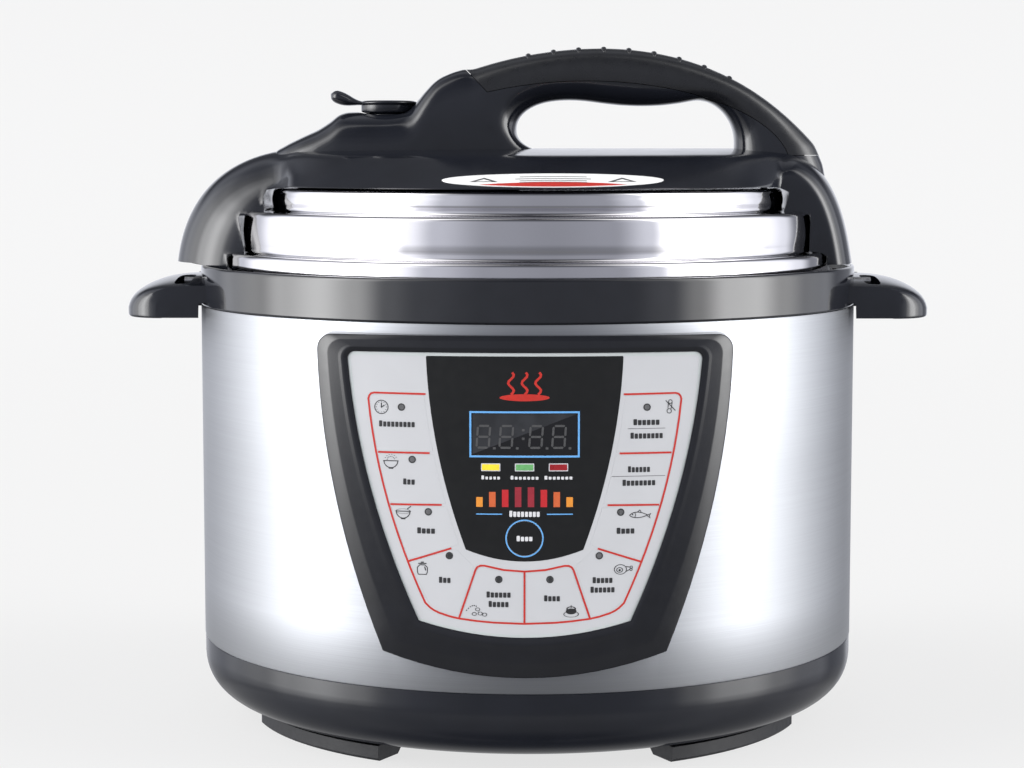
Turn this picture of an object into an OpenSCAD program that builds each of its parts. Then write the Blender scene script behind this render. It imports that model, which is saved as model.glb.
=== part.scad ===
// Electric pressure cooker of about 5 litres with a bayonet lid, a bridge-shaped lid cover and a
// touch panel. The origin is on the pot's axis at the plane the feet stand on, +Z is up, and the
// panel faces -Y. Millimetres.

/* [Body] */
// Radius of the steel housing and of the black rings above and below it
body_r = 143; // [142:0.5:144]
// Height of the steel housing's lower edge
steel_z0 = 36.8; // [36:0.2:38]
// Height of the steel housing's upper edge
steel_z1 = 180; // [179:0.5:181]
// Height of the upper ring's lip
ring_z = 197.3; // [197:0.1:197.6]
// Height of the base tray's underside, which is the height of the feet
base_z = 6.3; // [6:0.1:7]
// Outer radius of the feet
foot_r = 123; // [120:1:125]

/* [Pots] */
// Outer radius of the removable inner pot
pot_r = 110; // [108:0.5:110]
// Height of the inner pot's underside
pot_z0 = 46; // [46:0.5:48]
// Height of the inner pot's rim
pot_z1 = 206; // [205.5:0.1:206]
// Wall of the inner pot
pot_wall = 1.6; // [1.2:0.1:2]
// Number of bayonet lugs on the pot and on the lid
lugs = 6; // [5:1:7]
// Angle that one lug covers
lug_angle = 24; // [20:1:25]

/* [Lid] */
// Radii of the lid's three steps, from the lowest to the highest
lid_steps = [131.5, 124, 111.5];
// Heights of the three steps' tops
lid_tops = [203, 220.5, 230.4];
// Sheet thickness of the lid
lid_wall = 1.2; // [1:0.1:1.4]
// Height of the cover's crest
crest_z = 248.4; // [248:0.2:249]
// Half width of the cover's bridge
bridge_w = 30; // [26:1:32]

/* [Handle] */
// Half width of the lid handle
grip_w = 17; // [15:0.5:19]
// Half width of the handle's root at the valve
root_w = 24; // [22:0.5:26]
// Distance of the steam valve from the pot's axis
valve_x = -61; // [-62:0.5:-60]
// Radius of the steam release knob
knob_r = 12.5; // [11:0.5:13]
// Half width of the side handles
side_w = 42; // [38:1:46]

/* [Panel] */
// Radius that the face plate is bent to
face_r = 265; // [260:1:270]
// Distance of the face plate's surface in front of the pot's axis
face_y = 147; // [147:0.5:148]
// Thickness of the face plate and the key pads
face_t = 1.6; // [1.4:0.1:1.8]
// Half of the web between two key pads
web = 0.6; // [0.5:0.05:0.8]
// Gap round each key pad
key_gap = 0.15; // [0.1:0.05:0.25]
// Height of the frame's rim above the face plate
rim_h = 2.4; // [1.6:0.2:2.6]

/* [Hidden] */
$fn = 96;
e = 0.01;
housing_t = 0.8;
tray_t = 2.5;
wall_t = 2.6;
outer_pot_r = 112.4;
outer_pot_t = 1.6;
well_z = 186;
lug_r = 128;
lug_z = 194.8;
lug_t = 2.8;
valve_bore = 6;
float_xy = [-62, 36];
board_y = -131;
board_t = 1.6;
switch_h = 3.5;
key_stem_gap = 0.6;
screw_r = 1.6;
head_r = 3.2;
post_r = 100;
inlet_z = 58;
cup_z = [116, 168];
cup_w = 26;
cup_y = 144.6;

black = [0.07, 0.07, 0.085];
steel = [0.78, 0.78, 0.79];

// ---- Curves and outlines --------------------------------------------------------------------

function unit(v) = v / norm(v);

// Points along a cubic curve with four control points.
function bez(p, n = 8) = [for (i = [0:n]) let (t = i / n, s = 1 - t)
    s * s * s * p[0] + 3 * s * s * t * p[1] + 3 * s * t * t * p[2] + t * t * t * p[3]];

// Points along an arc.
function arc(c, r, a0, a1, n = 5) = [for (i = [0:n]) let (a = a0 + (a1 - a0) * i / n)
    c + r * [cos(a), sin(a)]];

function reversed(p) = [for (i = [len(p) - 1:-1:0]) p[i]];
function mirrored(p) = [for (q = reversed(p)) [-q.x, q.y]];

// A counterclockwise outline moved outwards by g, with mitred corners.
function grown(p, g) = [for (i = [0:len(p) - 1]) let (
    a = unit(p[i] - p[(i + len(p) - 1) % len(p)]),
    b = unit(p[(i + 1) % len(p)] - p[i]),
    na = [a.y, -a.x],
    nb = [b.y, -b.x])
    p[i] + g * (na + nb) / (1 + na * nb)];

// Half width at height z of a side that is w wide at the top and falls away by slope and bend.
function side_x(s, z) = s[0] - s[2] * (s[1] - z) - s[3] * pow(s[1] - z, 2);

// Right-hand side of a shield from its lower corner up to its rounded upper corner.
function shield_side(s, low_z, r, n = 8) = concat(
    [for (i = [0:n]) let (z = low_z + (s[1] - r - low_z) * i / n) [side_x(s, z), z]],
    arc([side_x(s, s[1] - r) - r, s[1] - r], r, 15, 90));

// Shield outline with curved sides and a curved lower edge, as x and z.
function shield(s, low_z, bottom_z, r) = let (
    right = shield_side(s, low_z, r),
    half = right[0].x,
    n = 10)
    concat(right, mirrored(right), [for (i = [1:n - 1]) let (x = half * (2 * i / n - 1))
        [x, bottom_z + (low_z - bottom_z) * pow(x / half, 2)]]);

// Each side is [half width at the top, height of the top, slope, bend].
bezel_side = [80.4, 176, 0.05, 0.0011];
plate_side = [68.7, 169.6, 0.0736, 0.00184];
black_side = [38.1, 168.4, 0.0383, 0.0022];
key_side = [60.2, 153.6, 0.0914, 0.0023];
function plate_shield(inset) = shield(
    [plate_side[0] - inset, plate_side[1] - inset, plate_side[2], plate_side[3]],
    65.3 + 0.8 * inset, 59.1 + inset, max(3 - inset, 1));
bezel_line = shield(bezel_side, 52.5, 43.2, 6);
plate_line = plate_shield(0);

// Extrudes a front-view outline between two depths, y0 being nearer the front.
module slab(y0, y1) {
    translate([0, y1, 0])
        rotate([90, 0, 0])
            linear_extrude(height = y1 - y0)
                children();
}

// Extrudes a side-on outline of x and z by half a width to each side.
module across(half) {
    slab(-half, half)
        children();
}

// What lies between two radii of the bent face, behind its surface.
module face_layer(front, back) {
    translate([0, face_r - face_y, 0])
        difference() {
            cylinder(r = face_r - front, h = 200, $fn = 192);
            translate([0, 0, -1])
                cylinder(r = face_r - back, h = 202, $fn = 192);
        }
}

module ring(r0, r1, z0, z1) {
    translate([0, 0, z0])
        difference() {
            cylinder(r = r1, h = z1 - z0);
            translate([0, 0, -1])
                cylinder(r = r0, h = z1 - z0 + 2);
        }
}

// A screw that points up, with its head's underside at height z.
module screw_up(length, head = 2) {
    cylinder(r = screw_r, h = length);
    translate([0, 0, -head])
        difference() {
            cylinder(r = head_r, h = head);
            translate([0, 0, -e])
                cylinder(r = 1.4, h = 1, $fn = 6);
        }
}

// ---- Base and body --------------------------------------------------------------------------

// Underside curve of the base, from the floor out to the full radius.
function base_curve(inset, n = 14) = [for (i = [0:n]) let (a = 90 * (1 - i / n))
    [115 - inset + 28 * pow(cos(a), 0.87), 30 + inset * 0.6 - (30 - base_z - inset * 0.4) * pow(sin(a), 0.87)]];

module posts(r) {
    for (a = [45:90:315])
        rotate([0, 0, a])
            translate([r, 0, 0])
                children();
}

module base_tray() {
    color(black)
        difference() {
            union() {
                rotate_extrude($fn = 160)
                    polygon(concat(
                        [[0, base_z]],
                        base_curve(0),
                        [[body_r, steel_z0], [body_r - 1.1, steel_z0], [body_r - 1.1, steel_z0 + 5],
                         [body_r - 3.1, steel_z0 + 5], [body_r - 3.1, 32]],
                        reversed(base_curve(tray_t)),
                        [[0, base_z + tray_t]]));
                posts(post_r)
                    translate([0, 0, base_z + 1])
                        cylinder(r = 5, h = 34 - base_z - 1);
            }
            posts(post_r) {
                translate([0, 0, base_z - 1])
                    cylinder(r = screw_r, h = 40);
                translate([0, 0, base_z - 1])
                    cylinder(r = head_r + 0.4, h = 4);
            }
            for (row = [0:2], a = [0:20:340])
                rotate([0, 0, a])
                    translate([38 + row * 17, -1.25, base_z - 1])
                        cube([12, 2.5, tray_t + 2]);
        }
}

// Four curved feet under the tray's edge, each with a bevelled inner end.
module feet() {
    color([0.1, 0.1, 0.11])
        for (a = [41.5, 138.5, 221.5, 318.5])
            rotate([0, 0, a - 19.5])
                rotate_extrude(angle = 39, $fn = 160)
                    polygon([[108, 0], [foot_r - 1.2, 0], [foot_r, 1.2], [foot_r, base_z],
                             [103.7, base_z], [103.7, 4]]);
}

module base_screws() {
    color(steel)
        posts(post_r)
            translate([0, 0, base_z + 3])
                screw_up(24);
}

module outer_housing() {
    color(steel)
        difference() {
            ring(body_r - housing_t, body_r, steel_z0, steel_z1, $fn = 192);
            slab(-160, -60)
                polygon(grown(bezel_line, -4));
            translate([-17.3, 100, inlet_z - 12.8])
                cube([34.6, 60, 25.6]);
        }
}

module upper_ring() {
    color(black)
        difference() {
            rotate_extrude($fn = 192)
                polygon(concat(
                    [[body_r, steel_z1]],
                    arc([body_r - 1, ring_z - 1], 1, 0, 180, 8),
                    [[body_r - 2, well_z], [outer_pot_r + outer_pot_t + 0.4, well_z],
                     [outer_pot_r + outer_pot_t + 0.4, well_z - 2.5], [body_r - 2.6, well_z - 2.5],
                     [body_r - 2.6, steel_z1 - 8], [body_r - 1, steel_z1 - 8],
                     [body_r - 1, steel_z1]]));
            side_screw_places()
                cylinder(r = screw_r, h = 30);
        }
}

// The four places where a screw goes outwards through the ring into a side handle.
module side_screw_places() {
    for (side = [0, 180], y = [-22, 22])
        rotate([0, 0, side])
            translate([130, y, well_z + 4.5])
                rotate([0, 90, 0])
                    children();
}

module side_handle() {
    inner_x = sqrt(pow(body_r, 2) - pow(side_w, 2)) - 4;
    top_line = bez([[inner_x, 193], [158, 192.4], [172, 189], [176.6, 180.5]]);
    color(black)
        difference() {
            intersection() {
                across(side_w)
                    polygon(concat(reversed(top_line),
                        [[inner_x, 175.5], [151, 173.6], [174.5, 172.4], [176.4, 174], [177, 177]]));
                union() {
                    translate([100, -side_w, 150])
                        cube([59, 2 * side_w, 60]);
                    for (y = [-1, 1])
                        translate([159, y * (side_w - 18), 150])
                            cylinder(r = 18, h = 60);
                    translate([150, -side_w + 18, 150])
                        cube([27, 2 * side_w - 36, 60]);
                }
            }
            translate([0, 0, 150])
                cylinder(r = body_r + 0.05, h = 60, $fn = 192);
            translate([0, 0, 160])
                intersection() {
                    difference() {
                        cylinder(r = 173, h = 24);
                        translate([0, 0, -1])
                            cylinder(r = body_r + 8, h = 30);
                    }
                    translate([120, -side_w + 4, 0])
                        cube([80, 2 * side_w - 8, 24]);
                }
            side_screw_places()
                cylinder(r = screw_r, h = 19);
        }
}

module side_handle_left() {
    rotate([0, 0, 180])
        side_handle();
}

module side_handle_right() {
    side_handle();
}

module side_handle_screws() {
    color(steel)
        side_screw_places()
            translate([0, 0, body_r - 2 - 130 - 2.2])
                screw_up(9.5, 1.8);
}

// ---- Pots and heater ------------------------------------------------------------------------

module lug_ring(inner, outer, z, start) {
    for (i = [0:lugs - 1])
        rotate([0, 0, start + i * 360 / lugs - lug_angle / 2])
            translate([0, 0, z])
                rotate_extrude(angle = lug_angle, $fn = 160)
                    polygon([[inner, 0], [outer, 0], [outer, lug_t], [inner, lug_t]]);
}

module outer_pot() {
    r = outer_pot_r;
    o = outer_pot_r + outer_pot_t;
    color([0.7, 0.7, 0.72])
        difference() {
            union() {
                rotate_extrude($fn = 160)
                    polygon([[82, 34], [o, 34], [o, well_z], [122, well_z], [122, well_z + 1.8],
                             [o, well_z + 1.8], [o, lug_z], [122, lug_z], [122, lug_z + lug_t],
                             [o, lug_z + lug_t], [o, 202.2], [118, 202.2], [118, 203.8], [r, 203.8],
                             [r, 36], [82, 36]]);
                lug_ring(121, lug_r, lug_z, 0);
            }
            posts(post_r)
                translate([0, 0, 30])
                    cylinder(r = screw_r, h = 10);
        }
}

module inner_pot() {
    r = pot_r;
    t = pot_wall;
    color([0.62, 0.63, 0.65])
        rotate_extrude($fn = 160)
            polygon(concat(
                [[0, pot_z0]],
                arc([r - 10, pot_z0 + 10], 10, -90, 0, 6),
                [[r, pot_z1 - 2], [118, pot_z1 - 2], [118.8, pot_z1 - 1], [118, pot_z1],
                 [r - t, pot_z1]],
                arc([r - 10, pot_z0 + 10], 10 - t, 0, -90, 6),
                [[0, pot_z0 + t]]));
}

module heating_plate() {
    color([0.72, 0.73, 0.75])
        ring(9.6, 80, 38.4, pot_z0 - 0.2);
}

module heating_element() {
    color([0.45, 0.42, 0.4]) {
        rotate([0, 0, 20])
            rotate_extrude(angle = 320)
                translate([58, 35.2])
                    circle(r = 3.2, $fn = 32);
        for (a = [20, 340])
            rotate([0, 0, a])
                translate([58, 0, 22])
                    cylinder(r = 2, h = 12, $fn = 24);
    }
}

module spring_plate() {
    color([0.66, 0.66, 0.68])
        difference() {
            union() {
                ring(8.6, 92, 28.6, 30);
                ring(8.6, 10, 23, 29);
                ring(3.4, 10, 22.4, 23.8);
                for (a = [0:120:240])
                    rotate([0, 0, a + 75])
                        translate([72, 0, 29])
                            cylinder(r = 3.5, h = 9.4, $fn = 32);
                for (a = [0:60:300])
                    rotate([0, 0, a])
                        translate([87, 0, 29])
                            cylinder(r = 3.5, h = 5, $fn = 32);
            }
            for (a = [20, 340])
                rotate([0, 0, a])
                    translate([58, 0, 20])
                        cylinder(r = 4, h = 20, $fn = 32);
        }
}

module pressure_switch() {
    color([0.9, 0.88, 0.82]) {
        translate([24, -40, 17])
            cube([22, 14, 11.6]);
        translate([35, -33, 11])
            cylinder(r = 3, h = 6, $fn = 32);
    }
}

module thermal_fuse() {
    color([0.85, 0.82, 0.7])
        translate([-36, 10, 36])
            rotate([90, 0, 0]) {
                cylinder(r = 2.4, h = 20, $fn = 32);
                translate([0, 0, -8])
                    cylinder(r = 0.6, h = 36, $fn = 16);
            }
}

module sensor_cap() {
    color([0.75, 0.75, 0.77]) {
        translate([0, 0, 37])
            cylinder(r = 9, h = pot_z0 - 0.1 - 37);
        translate([0, 0, 18])
            cylinder(r = 3, h = 20, $fn = 32);
    }
}

// Conical return spring between the bracket below and the sensor's skirt, as stacked turns.
module sensor_spring() {
    color(steel)
        for (i = [0:4])
            translate([0, 0, 24.4 + i * 3])
                rotate_extrude()
                    translate([7.2 - i * 0.2, 0])
                        circle(r = 0.5, $fn = 16);
}

module power_board() {
    color([0.1, 0.35, 0.2])
        translate([-50, -108, 12])
            cube([100, 46, board_t]);
    color([0.8, 0.8, 0.8])
        for (x = [-44, 44], y = [-102, -68])
            translate([x, y, base_z + tray_t + e])
                cylinder(r = 3, h = 12 - base_z - tray_t + e, $fn = 24);
}

// Relay, mains transformer and capacitor that stand on the power board.
module power_relay() {
    color([0.15, 0.2, 0.5])
        translate([-36, -96, 12 + board_t])
            cube([16, 20, 12]);
    color([0.85, 0.75, 0.3])
        translate([-6, -98, 12 + board_t])
            cube([24, 26, 13]);
    color([0.2, 0.2, 0.25])
        translate([32, -84, 12 + board_t])
            cylinder(r = 6, h = 12.5, $fn = 32);
}

// ---- Control panel --------------------------------------------------------------------------

// Key pads of the right-hand side, counterclockwise in x and z.
function strip_key(top, low_out, low_in) = concat(
    [for (i = [0:4]) let (z = low_out + (top - low_out) * i / 4) [side_x(key_side, z), z]],
    [for (i = [0:4]) let (z = top + (low_in - top) * i / 4) [side_x(black_side, z) + 1.2, z]]);
key_rows = [153.6, 130.7, 110.6];
key_1 = strip_key(key_rows[0], key_rows[1], key_rows[1]);
key_2 = strip_key(key_rows[1], key_rows[2], key_rows[2]);
key_3 = strip_key(key_rows[2], 88.5, 95);
key_4 = [[25.3, 66.5], [33.1, 68.6], [37.3, 71.7], [side_x(key_side, 88.5), 88.5], [26.4, 94.4],
         [23.8, 91.8], [18.9, 87.2]];
key_5 = [[0, 64.7], [12, 65.1], [25.3, 66.5], [18.7, 86.2], [17, 87.5], [8, 85.7], [0, 85.1]];
key_lines = [key_1, key_2, key_3, key_4, key_5];
// Where each key's stem meets its switch, in the same order.
key_stems = [[49, 142], [45, 120.5], [38.5, 101], [31, 80], [11.5, 75]];
taste_z = 98;
taste_r = 6.75;
display_z = [130.1, 146.4];
display_w = 20.4;

module bent(front, back) {
    intersection() {
        face_layer(front, back);
        slab(-160, -100)
            children();
    }
}

// Depth of a surface d behind the bent face, at a distance x from its middle.
function face_depth(x, d) = face_r - face_y - sqrt(pow(face_r - d, 2) - x * x);

// Stem from the middle of a pad's thickness to just short of its switch.
module key_stem(x, z) {
    stem_y = board_y - switch_h - key_stem_gap;
    translate([x, stem_y, z])
        rotate([90, 0, 0])
            cylinder(r = 2, h = stem_y - face_depth(x, face_t / 2), $fn = 32);
}

module key_pad(i, side) {
    color([0.85, 0.85, 0.86])
        mirror([side < 0 ? 1 : 0, 0, 0]) {
            bent(0, face_t)
                polygon(grown(key_lines[i], -web - key_gap));
            key_stem(key_stems[i].x, key_stems[i].y);
        }
}

module key_taste() {
    color([0.13, 0.13, 0.13]) {
        bent(0, face_t)
            translate([0, taste_z])
                circle(r = taste_r - key_gap);
        key_stem(0, taste_z);
    }
}

module key_timer() key_pad(0, -1);
module key_rice() key_pad(1, -1);
module key_porridge() key_pad(2, -1);
module key_soup() key_pad(3, -1);
module key_beans() key_pad(4, -1);
module key_cake() key_pad(4, 1);
module key_meat() key_pad(3, 1);
module key_fish() key_pad(2, 1);
module key_pressure() key_pad(1, 1);
module key_warm() key_pad(0, 1);

module face_plate() {
    color([0.84, 0.84, 0.85])
        bent(0, face_t)
            difference() {
                polygon(plate_shield(0.1));
                for (side = [0, 1], line = key_lines)
                    mirror([side, 0])
                        polygon(grown(line, -web));
                translate([0, taste_z])
                    circle(r = taste_r);
                translate([-display_w, display_z[0]])
                    square([2 * display_w, display_z[1] - display_z[0]]);
            }
}

module display_window() {
    color([0.05, 0.05, 0.06, 0.8])
        bent(0.2, face_t)
            translate([-display_w + 0.1, display_z[0] + 0.1])
                square([2 * display_w - 0.2, display_z[1] - display_z[0] - 0.2]);
}

// Outline between the frame's foot on the housing and its rim round the face plate.
rim_line = plate_shield(-1.4);
function frame_line(t) = [for (i = [0:len(rim_line) - 1]) (1 - t) * bezel_line[i] + t * rim_line[i]];

// Solid from the housing out to a bent front, which is flat to the housing at 0 and the rim at 1.
module frame_step(t, rise) {
    intersection() {
        translate([0, rise * (face_r - face_y), 0])
            cylinder(r = body_r + rise * (face_r + rim_h - body_r), h = 200, $fn = 192);
        slab(-160, -80)
            polygon(frame_line(t));
    }
}

// Raised frame that grows in steps from the steel body to a rim round the face plate.
module panel_bezel() {
    color(black)
        difference() {
            union() {
                frame_step(0, 0.3);
                frame_step(0.3, 0.7);
                frame_step(0.75, 1);
            }
            difference() {
                cylinder(r = body_r + 0.02, h = 200, $fn = 192);
                slab(-150, -70)
                    polygon(grown(bezel_line, -4.1));
            }
            cylinder(r = body_r - 3.6, h = 200, $fn = 192);
            slab(-160, -70)
                polygon(plate_shield(3));
            intersection() {
                face_layer(-6, face_t);
                slab(-160, -100)
                    polygon(plate_line);
            }
        }
}

module panel_screws() {
    color(steel)
        for (p = [[-46, 163], [46, 163], [-30, 73], [30, 73]])
            translate([p.x, board_y + board_t, p.y])
                rotate([90, 0, 0])
                    screw_up(board_t + 3, 1.6);
}

module control_board() {
    color([0.1, 0.35, 0.2])
        difference() {
            slab(board_y, board_y + board_t)
                polygon(plate_shield(4));
            for (p = [[-46, 163], [46, 163], [-30, 73], [30, 73]])
                translate([p.x, board_y + board_t + 1, p.y])
                    rotate([90, 0, 0])
                        cylinder(r = screw_r, h = 4);
        }
}

module display_module() {
    color([0.1, 0.1, 0.1])
        translate([-display_w + 1, board_y - 10, display_z[0] + 1])
            cube([2 * display_w - 2, 10, display_z[1] - display_z[0] - 2]);
}

module tact_switches() {
    color([0.2, 0.2, 0.22]) {
        for (side = [-1, 1], p = key_stems)
            translate([side * p.x - 3, board_y - switch_h, p.y - 3])
                cube([6, switch_h, 6]);
        translate([-3, board_y - switch_h, taste_z - 3])
            cube([6, switch_h, 6]);
    }
}

// Row of status lights and level lights behind the dark field.
module indicator_leds() {
    color([0.9, 0.8, 0.3]) {
        for (x = [-13, 0, 13])
            translate([x, board_y, 125.5])
                rotate([90, 0, 0])
                    cylinder(r = 1.5, h = 5, $fn = 24);
        for (i = [0:7])
            translate([(i - 3.5) * 4.95, board_y, 113.5])
                rotate([90, 0, 0])
                    cylinder(r = 1.2, h = 5, $fn = 24);
    }
}

// ---- Rear -----------------------------------------------------------------------------------

module power_inlet() {
    color([0.12, 0.12, 0.12])
        difference() {
            union() {
                translate([-17, 124, inlet_z - 12.5])
                    cube([34, 20, 25]);
                translate([-20, 143.1, inlet_z - 15])
                    cube([40, 3.4, 30]);
            }
            translate([-12.5, 128, inlet_z - 8.5])
                cube([25, 30, 17]);
            pin_bars();
        }
}

module pin_bars() {
    for (p = [[-7, -2], [7, -2], [0, 2]])
        translate([p.x - 1, 118, inlet_z + p.y - 2])
            cube([2, 24, 4]);
}

module inlet_pins() {
    color([0.8, 0.75, 0.55])
        pin_bars();
}

module cup_bracket() {
    color(black)
        difference() {
            translate([-cup_w + 3, 130, cup_z[1] - 34])
                cube([2 * cup_w - 6, cup_y - 0.3 - 130, 30]);
            translate([0, 0, 100])
                cylinder(r = body_r + 0.02, h = 90, $fn = 192);
        }
}

// Shallow cup that catches condensate behind the body, open at the top.
module condensation_cup() {
    color([0.8, 0.83, 0.86, 0.6])
        difference() {
            translate([-cup_w, cup_y, cup_z[0]])
                cube([2 * cup_w, 7.6, cup_z[1] - cup_z[0]]);
            translate([-cup_w + 1.2, cup_y + 1.2, cup_z[0] + 1.2])
                cube([2 * cup_w - 2.4, 5.2, cup_z[1]]);
        }
}

// ---- Lid ------------------------------------------------------------------------------------

// Outer line of the stepped lid moved inwards by d, from its skirt to its centre.
function lid_line(d) = let (r = lid_steps, z = lid_tops, o = 2.4, f = 2)
    concat(
        [[r[0] - d, 190]],
        arc([r[0] - o, z[0] - o], o - d, 0, 90, 4),
        arc([r[1] + f, z[0] + f], f + d, -90, -180, 4),
        arc([r[1] - o, z[1] - o], o - d, 0, 90, 4),
        arc([r[2] + f, z[1] + f], f + d, -90, -180, 4),
        arc([r[2] - o, z[2] - o], o - d, 0, 90, 4),
        [[0, z[2] - d]]);

module lid_screw_places() {
    for (p = [[-35, 0], [-92, 0], [104, 0]])
        translate([p.x, p.y, lid_tops[2] - lid_wall])
            children();
}

module lid_shell() {
    color(steel)
        difference() {
            union() {
                rotate_extrude($fn = 192)
                    polygon(concat(lid_line(0), reversed(lid_line(lid_wall))));
                lug_ring(124.6, lid_steps[0] - 0.4, lug_z - lug_t - 0.6, 180 / lugs);
            }
            translate([valve_x, 0, 220])
                cylinder(r = valve_bore, h = 20);
            translate([float_xy.x, float_xy.y, 220])
                cylinder(r = 4, h = 20);
            lid_screw_places()
                translate([0, 0, -5])
                    cylinder(r = screw_r, h = 15);
        }
}

// Side-on outline of the bridge: outer line over the top, inner line round the lid's steps.
left_leg = bez([[-152.4, 198], [-152, 222], [-140, crest_z], [-100, crest_z]]);
right_leg = bez([[100, crest_z], [128, crest_z], [140, 228], [142.6, 198]]);
bridge_line = concat(
    reversed(right_leg),
    reversed(left_leg),
    [for (i = [0:2]) each [[-lid_steps[i] - 1.2, i == 0 ? 198 : lid_tops[i - 1] + 0.7],
                           [-lid_steps[i] - 1.2, lid_tops[i] + 0.7]]],
    [for (i = [2:-1:0]) each [[lid_steps[i] + 1.2, lid_tops[i] + 0.7],
                              [lid_steps[i] + 1.2, i == 0 ? 198 : lid_tops[i - 1] + 0.7]]]);

module dome(r, top, z0) {
    big = (r * r + pow(top - z0, 2)) / (2 * (top - z0));
    translate([0, 0, top - big])
        rotate_extrude($fn = 160)
            polygon(concat(
                arc([0, 0], big, acos(0) - asin(r / big), acos(0), 12),
                [[0, big - (top - z0)]]));
}

module lid_cover() {
    color(black)
        difference() {
            union() {
                difference() {
                    dome(112, crest_z, lid_tops[2] + 0.7);
                    dome(109, crest_z - 2.4, lid_tops[2] + 0.6);
                }
                difference() {
                    across(bridge_w)
                        polygon(bridge_line);
                    across(bridge_w - 2.6)
                        polygon(grown(bridge_line, -2.6));
                    translate([0, 0, lid_tops[2] + 0.7])
                        intersection() {
                            translate([-106, -bridge_w + 2.6, -1])
                                cube([212, 2 * bridge_w - 5.2, 8]);
                            translate([0, 0, -1])
                                cylinder(r = 108, h = 8);
                        }
                }
                lid_screw_places()
                    translate([0, 0, lid_wall + 0.2])
                        cylinder(r = 4, h = 15);
            }
            translate([valve_x, 0, 220])
                cylinder(r = 9, h = 40);
            translate([float_xy.x, float_xy.y, 220])
                cylinder(r = 4, h = 40);
            lid_screw_places()
                cylinder(r = screw_r, h = 40);
        }
}

// Upper line of the handle, from the valve recess over the top to the right-hand root.
handle_left = bez([[-44, 273], [-28, 281.5], [0, 290.9], [31.8, 290.9]]);
handle_right = bez([[31.8, 290.9], [68, 290.9], [100, 278], [124, crest_z + 0.6]], 10);
handle_hole = concat(
    bez([[90.5, crest_z], [92.5, 258], [84, 268.6], [74, 268.4]], 6),
    bez([[74, 268.4], [60, 265], [45, 265], [30, 267.3]], 5),
    bez([[30, 267.3], [10, 270.5], [-5, 266], [-5, 255]], 6),
    [[-3, crest_z]]);
// Seam between the handle and the grip on top of it, from right to left.
grip_seam = bez([[112, crest_z + 1.6], [92, 270], [40, 286], [-17.2, 271.7]], 10);
grip_from = 3;
grip_line = concat(
    grip_seam,
    [for (i = [grip_from:len(handle_left) - 1]) handle_left[i]],
    [for (i = [1:len(handle_right) - 1]) handle_right[i]]);

module lid_handle() {
    color(black)
        difference() {
            union() {
                across(grip_w)
                    polygon(concat(
                        reversed(handle_hole),
                        reversed(handle_right),
                        reversed(handle_left),
                        [[-44, 258.4], [-76, 258.4], [-92, 255], [-109, crest_z]]));
                across(root_w)
                    polygon([[-14, crest_z], [-14, 256], [-44, 262], [-44, 258.4], [-76, 258.4],
                             [-92, 255], [-109, crest_z]]);
            }
            across(grip_w + 1)
                polygon(reversed(grip_line));
            translate([valve_x, 0, crest_z - 1])
                cylinder(r = 9, h = 30);
            lid_screw_places()
                cylinder(r = screw_r, h = 26);
        }
}

module handle_grip() {
    color([0.09, 0.09, 0.1])
        across(grip_w)
            polygon(reversed(grip_line));
}

module lid_screws() {
    color(steel)
        lid_screw_places()
            screw_up(24.6);
}

module valve_tube() {
    color(steel)
        translate([valve_x, 0, 0])
            difference() {
                union() {
                    translate([0, 0, 224])
                        cylinder(r = valve_bore, h = 34);
                    translate([0, 0, 224])
                        cylinder(r = 8.5, h = lid_tops[2] - lid_wall - 224, $fn = 6);
                    translate([0, 0, lid_tops[2] + 0.02])
                        cylinder(r = 8.5, h = 3);
                }
                translate([0, 0, 220])
                    cylinder(r = 2, h = 50, $fn = 32);
            }
}

// Slotted cap under the lid that keeps food out of the steam valve.
module filter_cap() {
    color([0.7, 0.7, 0.72])
        translate([valve_x, 0, 214])
            difference() {
                cylinder(r = 14, h = 10);
                translate([0, 0, 1])
                    cylinder(r = 13, h = 8);
                translate([0, 0, 5])
                    cylinder(r = 3, h = 8);
                for (a = [0:45:135])
                    rotate([0, 0, a])
                        translate([-15, -1, 3])
                            cube([30, 2, 4]);
            }
}

module release_knob() {
    color(black)
        translate([valve_x, 0, 0])
            difference() {
                union() {
                    translate([0, 0, 258.8])
                        cylinder(r = knob_r - 1.5, h = 4);
                    translate([0, 0, 262.4])
                        cylinder(r = knob_r, h = 4.6);
                    across(7)
                        polygon(concat(
                            [[-8, 263]],
                            [[-8, 267]],
                            reversed(bez([[-25, 272.6], [-21, 272.8], [-17, 267], [-8, 267]], 6)),
                            bez([[-25.6, 270.4], [-21, 270], [-17, 263.6], [-8, 263]], 6)));
                }
                translate([0, 0, 258])
                    cylinder(r = valve_bore + 2.1, h = 6.6);
            }
}

module valve_weight() {
    color(steel)
        translate([valve_x, 0, 0])
            difference() {
                translate([0, 0, 258.9])
                    cylinder(r = valve_bore + 2, h = 5.6);
                translate([0, 0, 258])
                    cylinder(r = 1.5, h = 3, $fn = 24);
            }
}

module float_pin() {
    color([0.75, 0.2, 0.15])
        translate([float_xy.x, float_xy.y, 0]) {
            translate([0, 0, 219])
                cylinder(r = 3.3, h = 21.4);
            translate([0, 0, 217])
                cylinder(r = 5.5, h = 2);
        }
}

module float_seal() {
    color([0.85, 0.85, 0.83])
        translate([float_xy.x, float_xy.y, 0])
            ring(3.3, 5.8, 219, 221.4);
}

module sealing_ring() {
    color([0.86, 0.86, 0.84])
        rotate_extrude($fn = 160)
            polygon([[109, 206.3], [118, 206.3], [121.4, 208], [121.4, 218.4], [109, 218.4],
                     [109, 216.4], [118.4, 216.4], [118.4, 209.5], [109, 208.3]]);
}

// Steel band that carries the silicone ring inside the lid.
module seal_rack() {
    color(steel)
        ring(107, 109, 206.6, 218.2);
}

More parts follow.
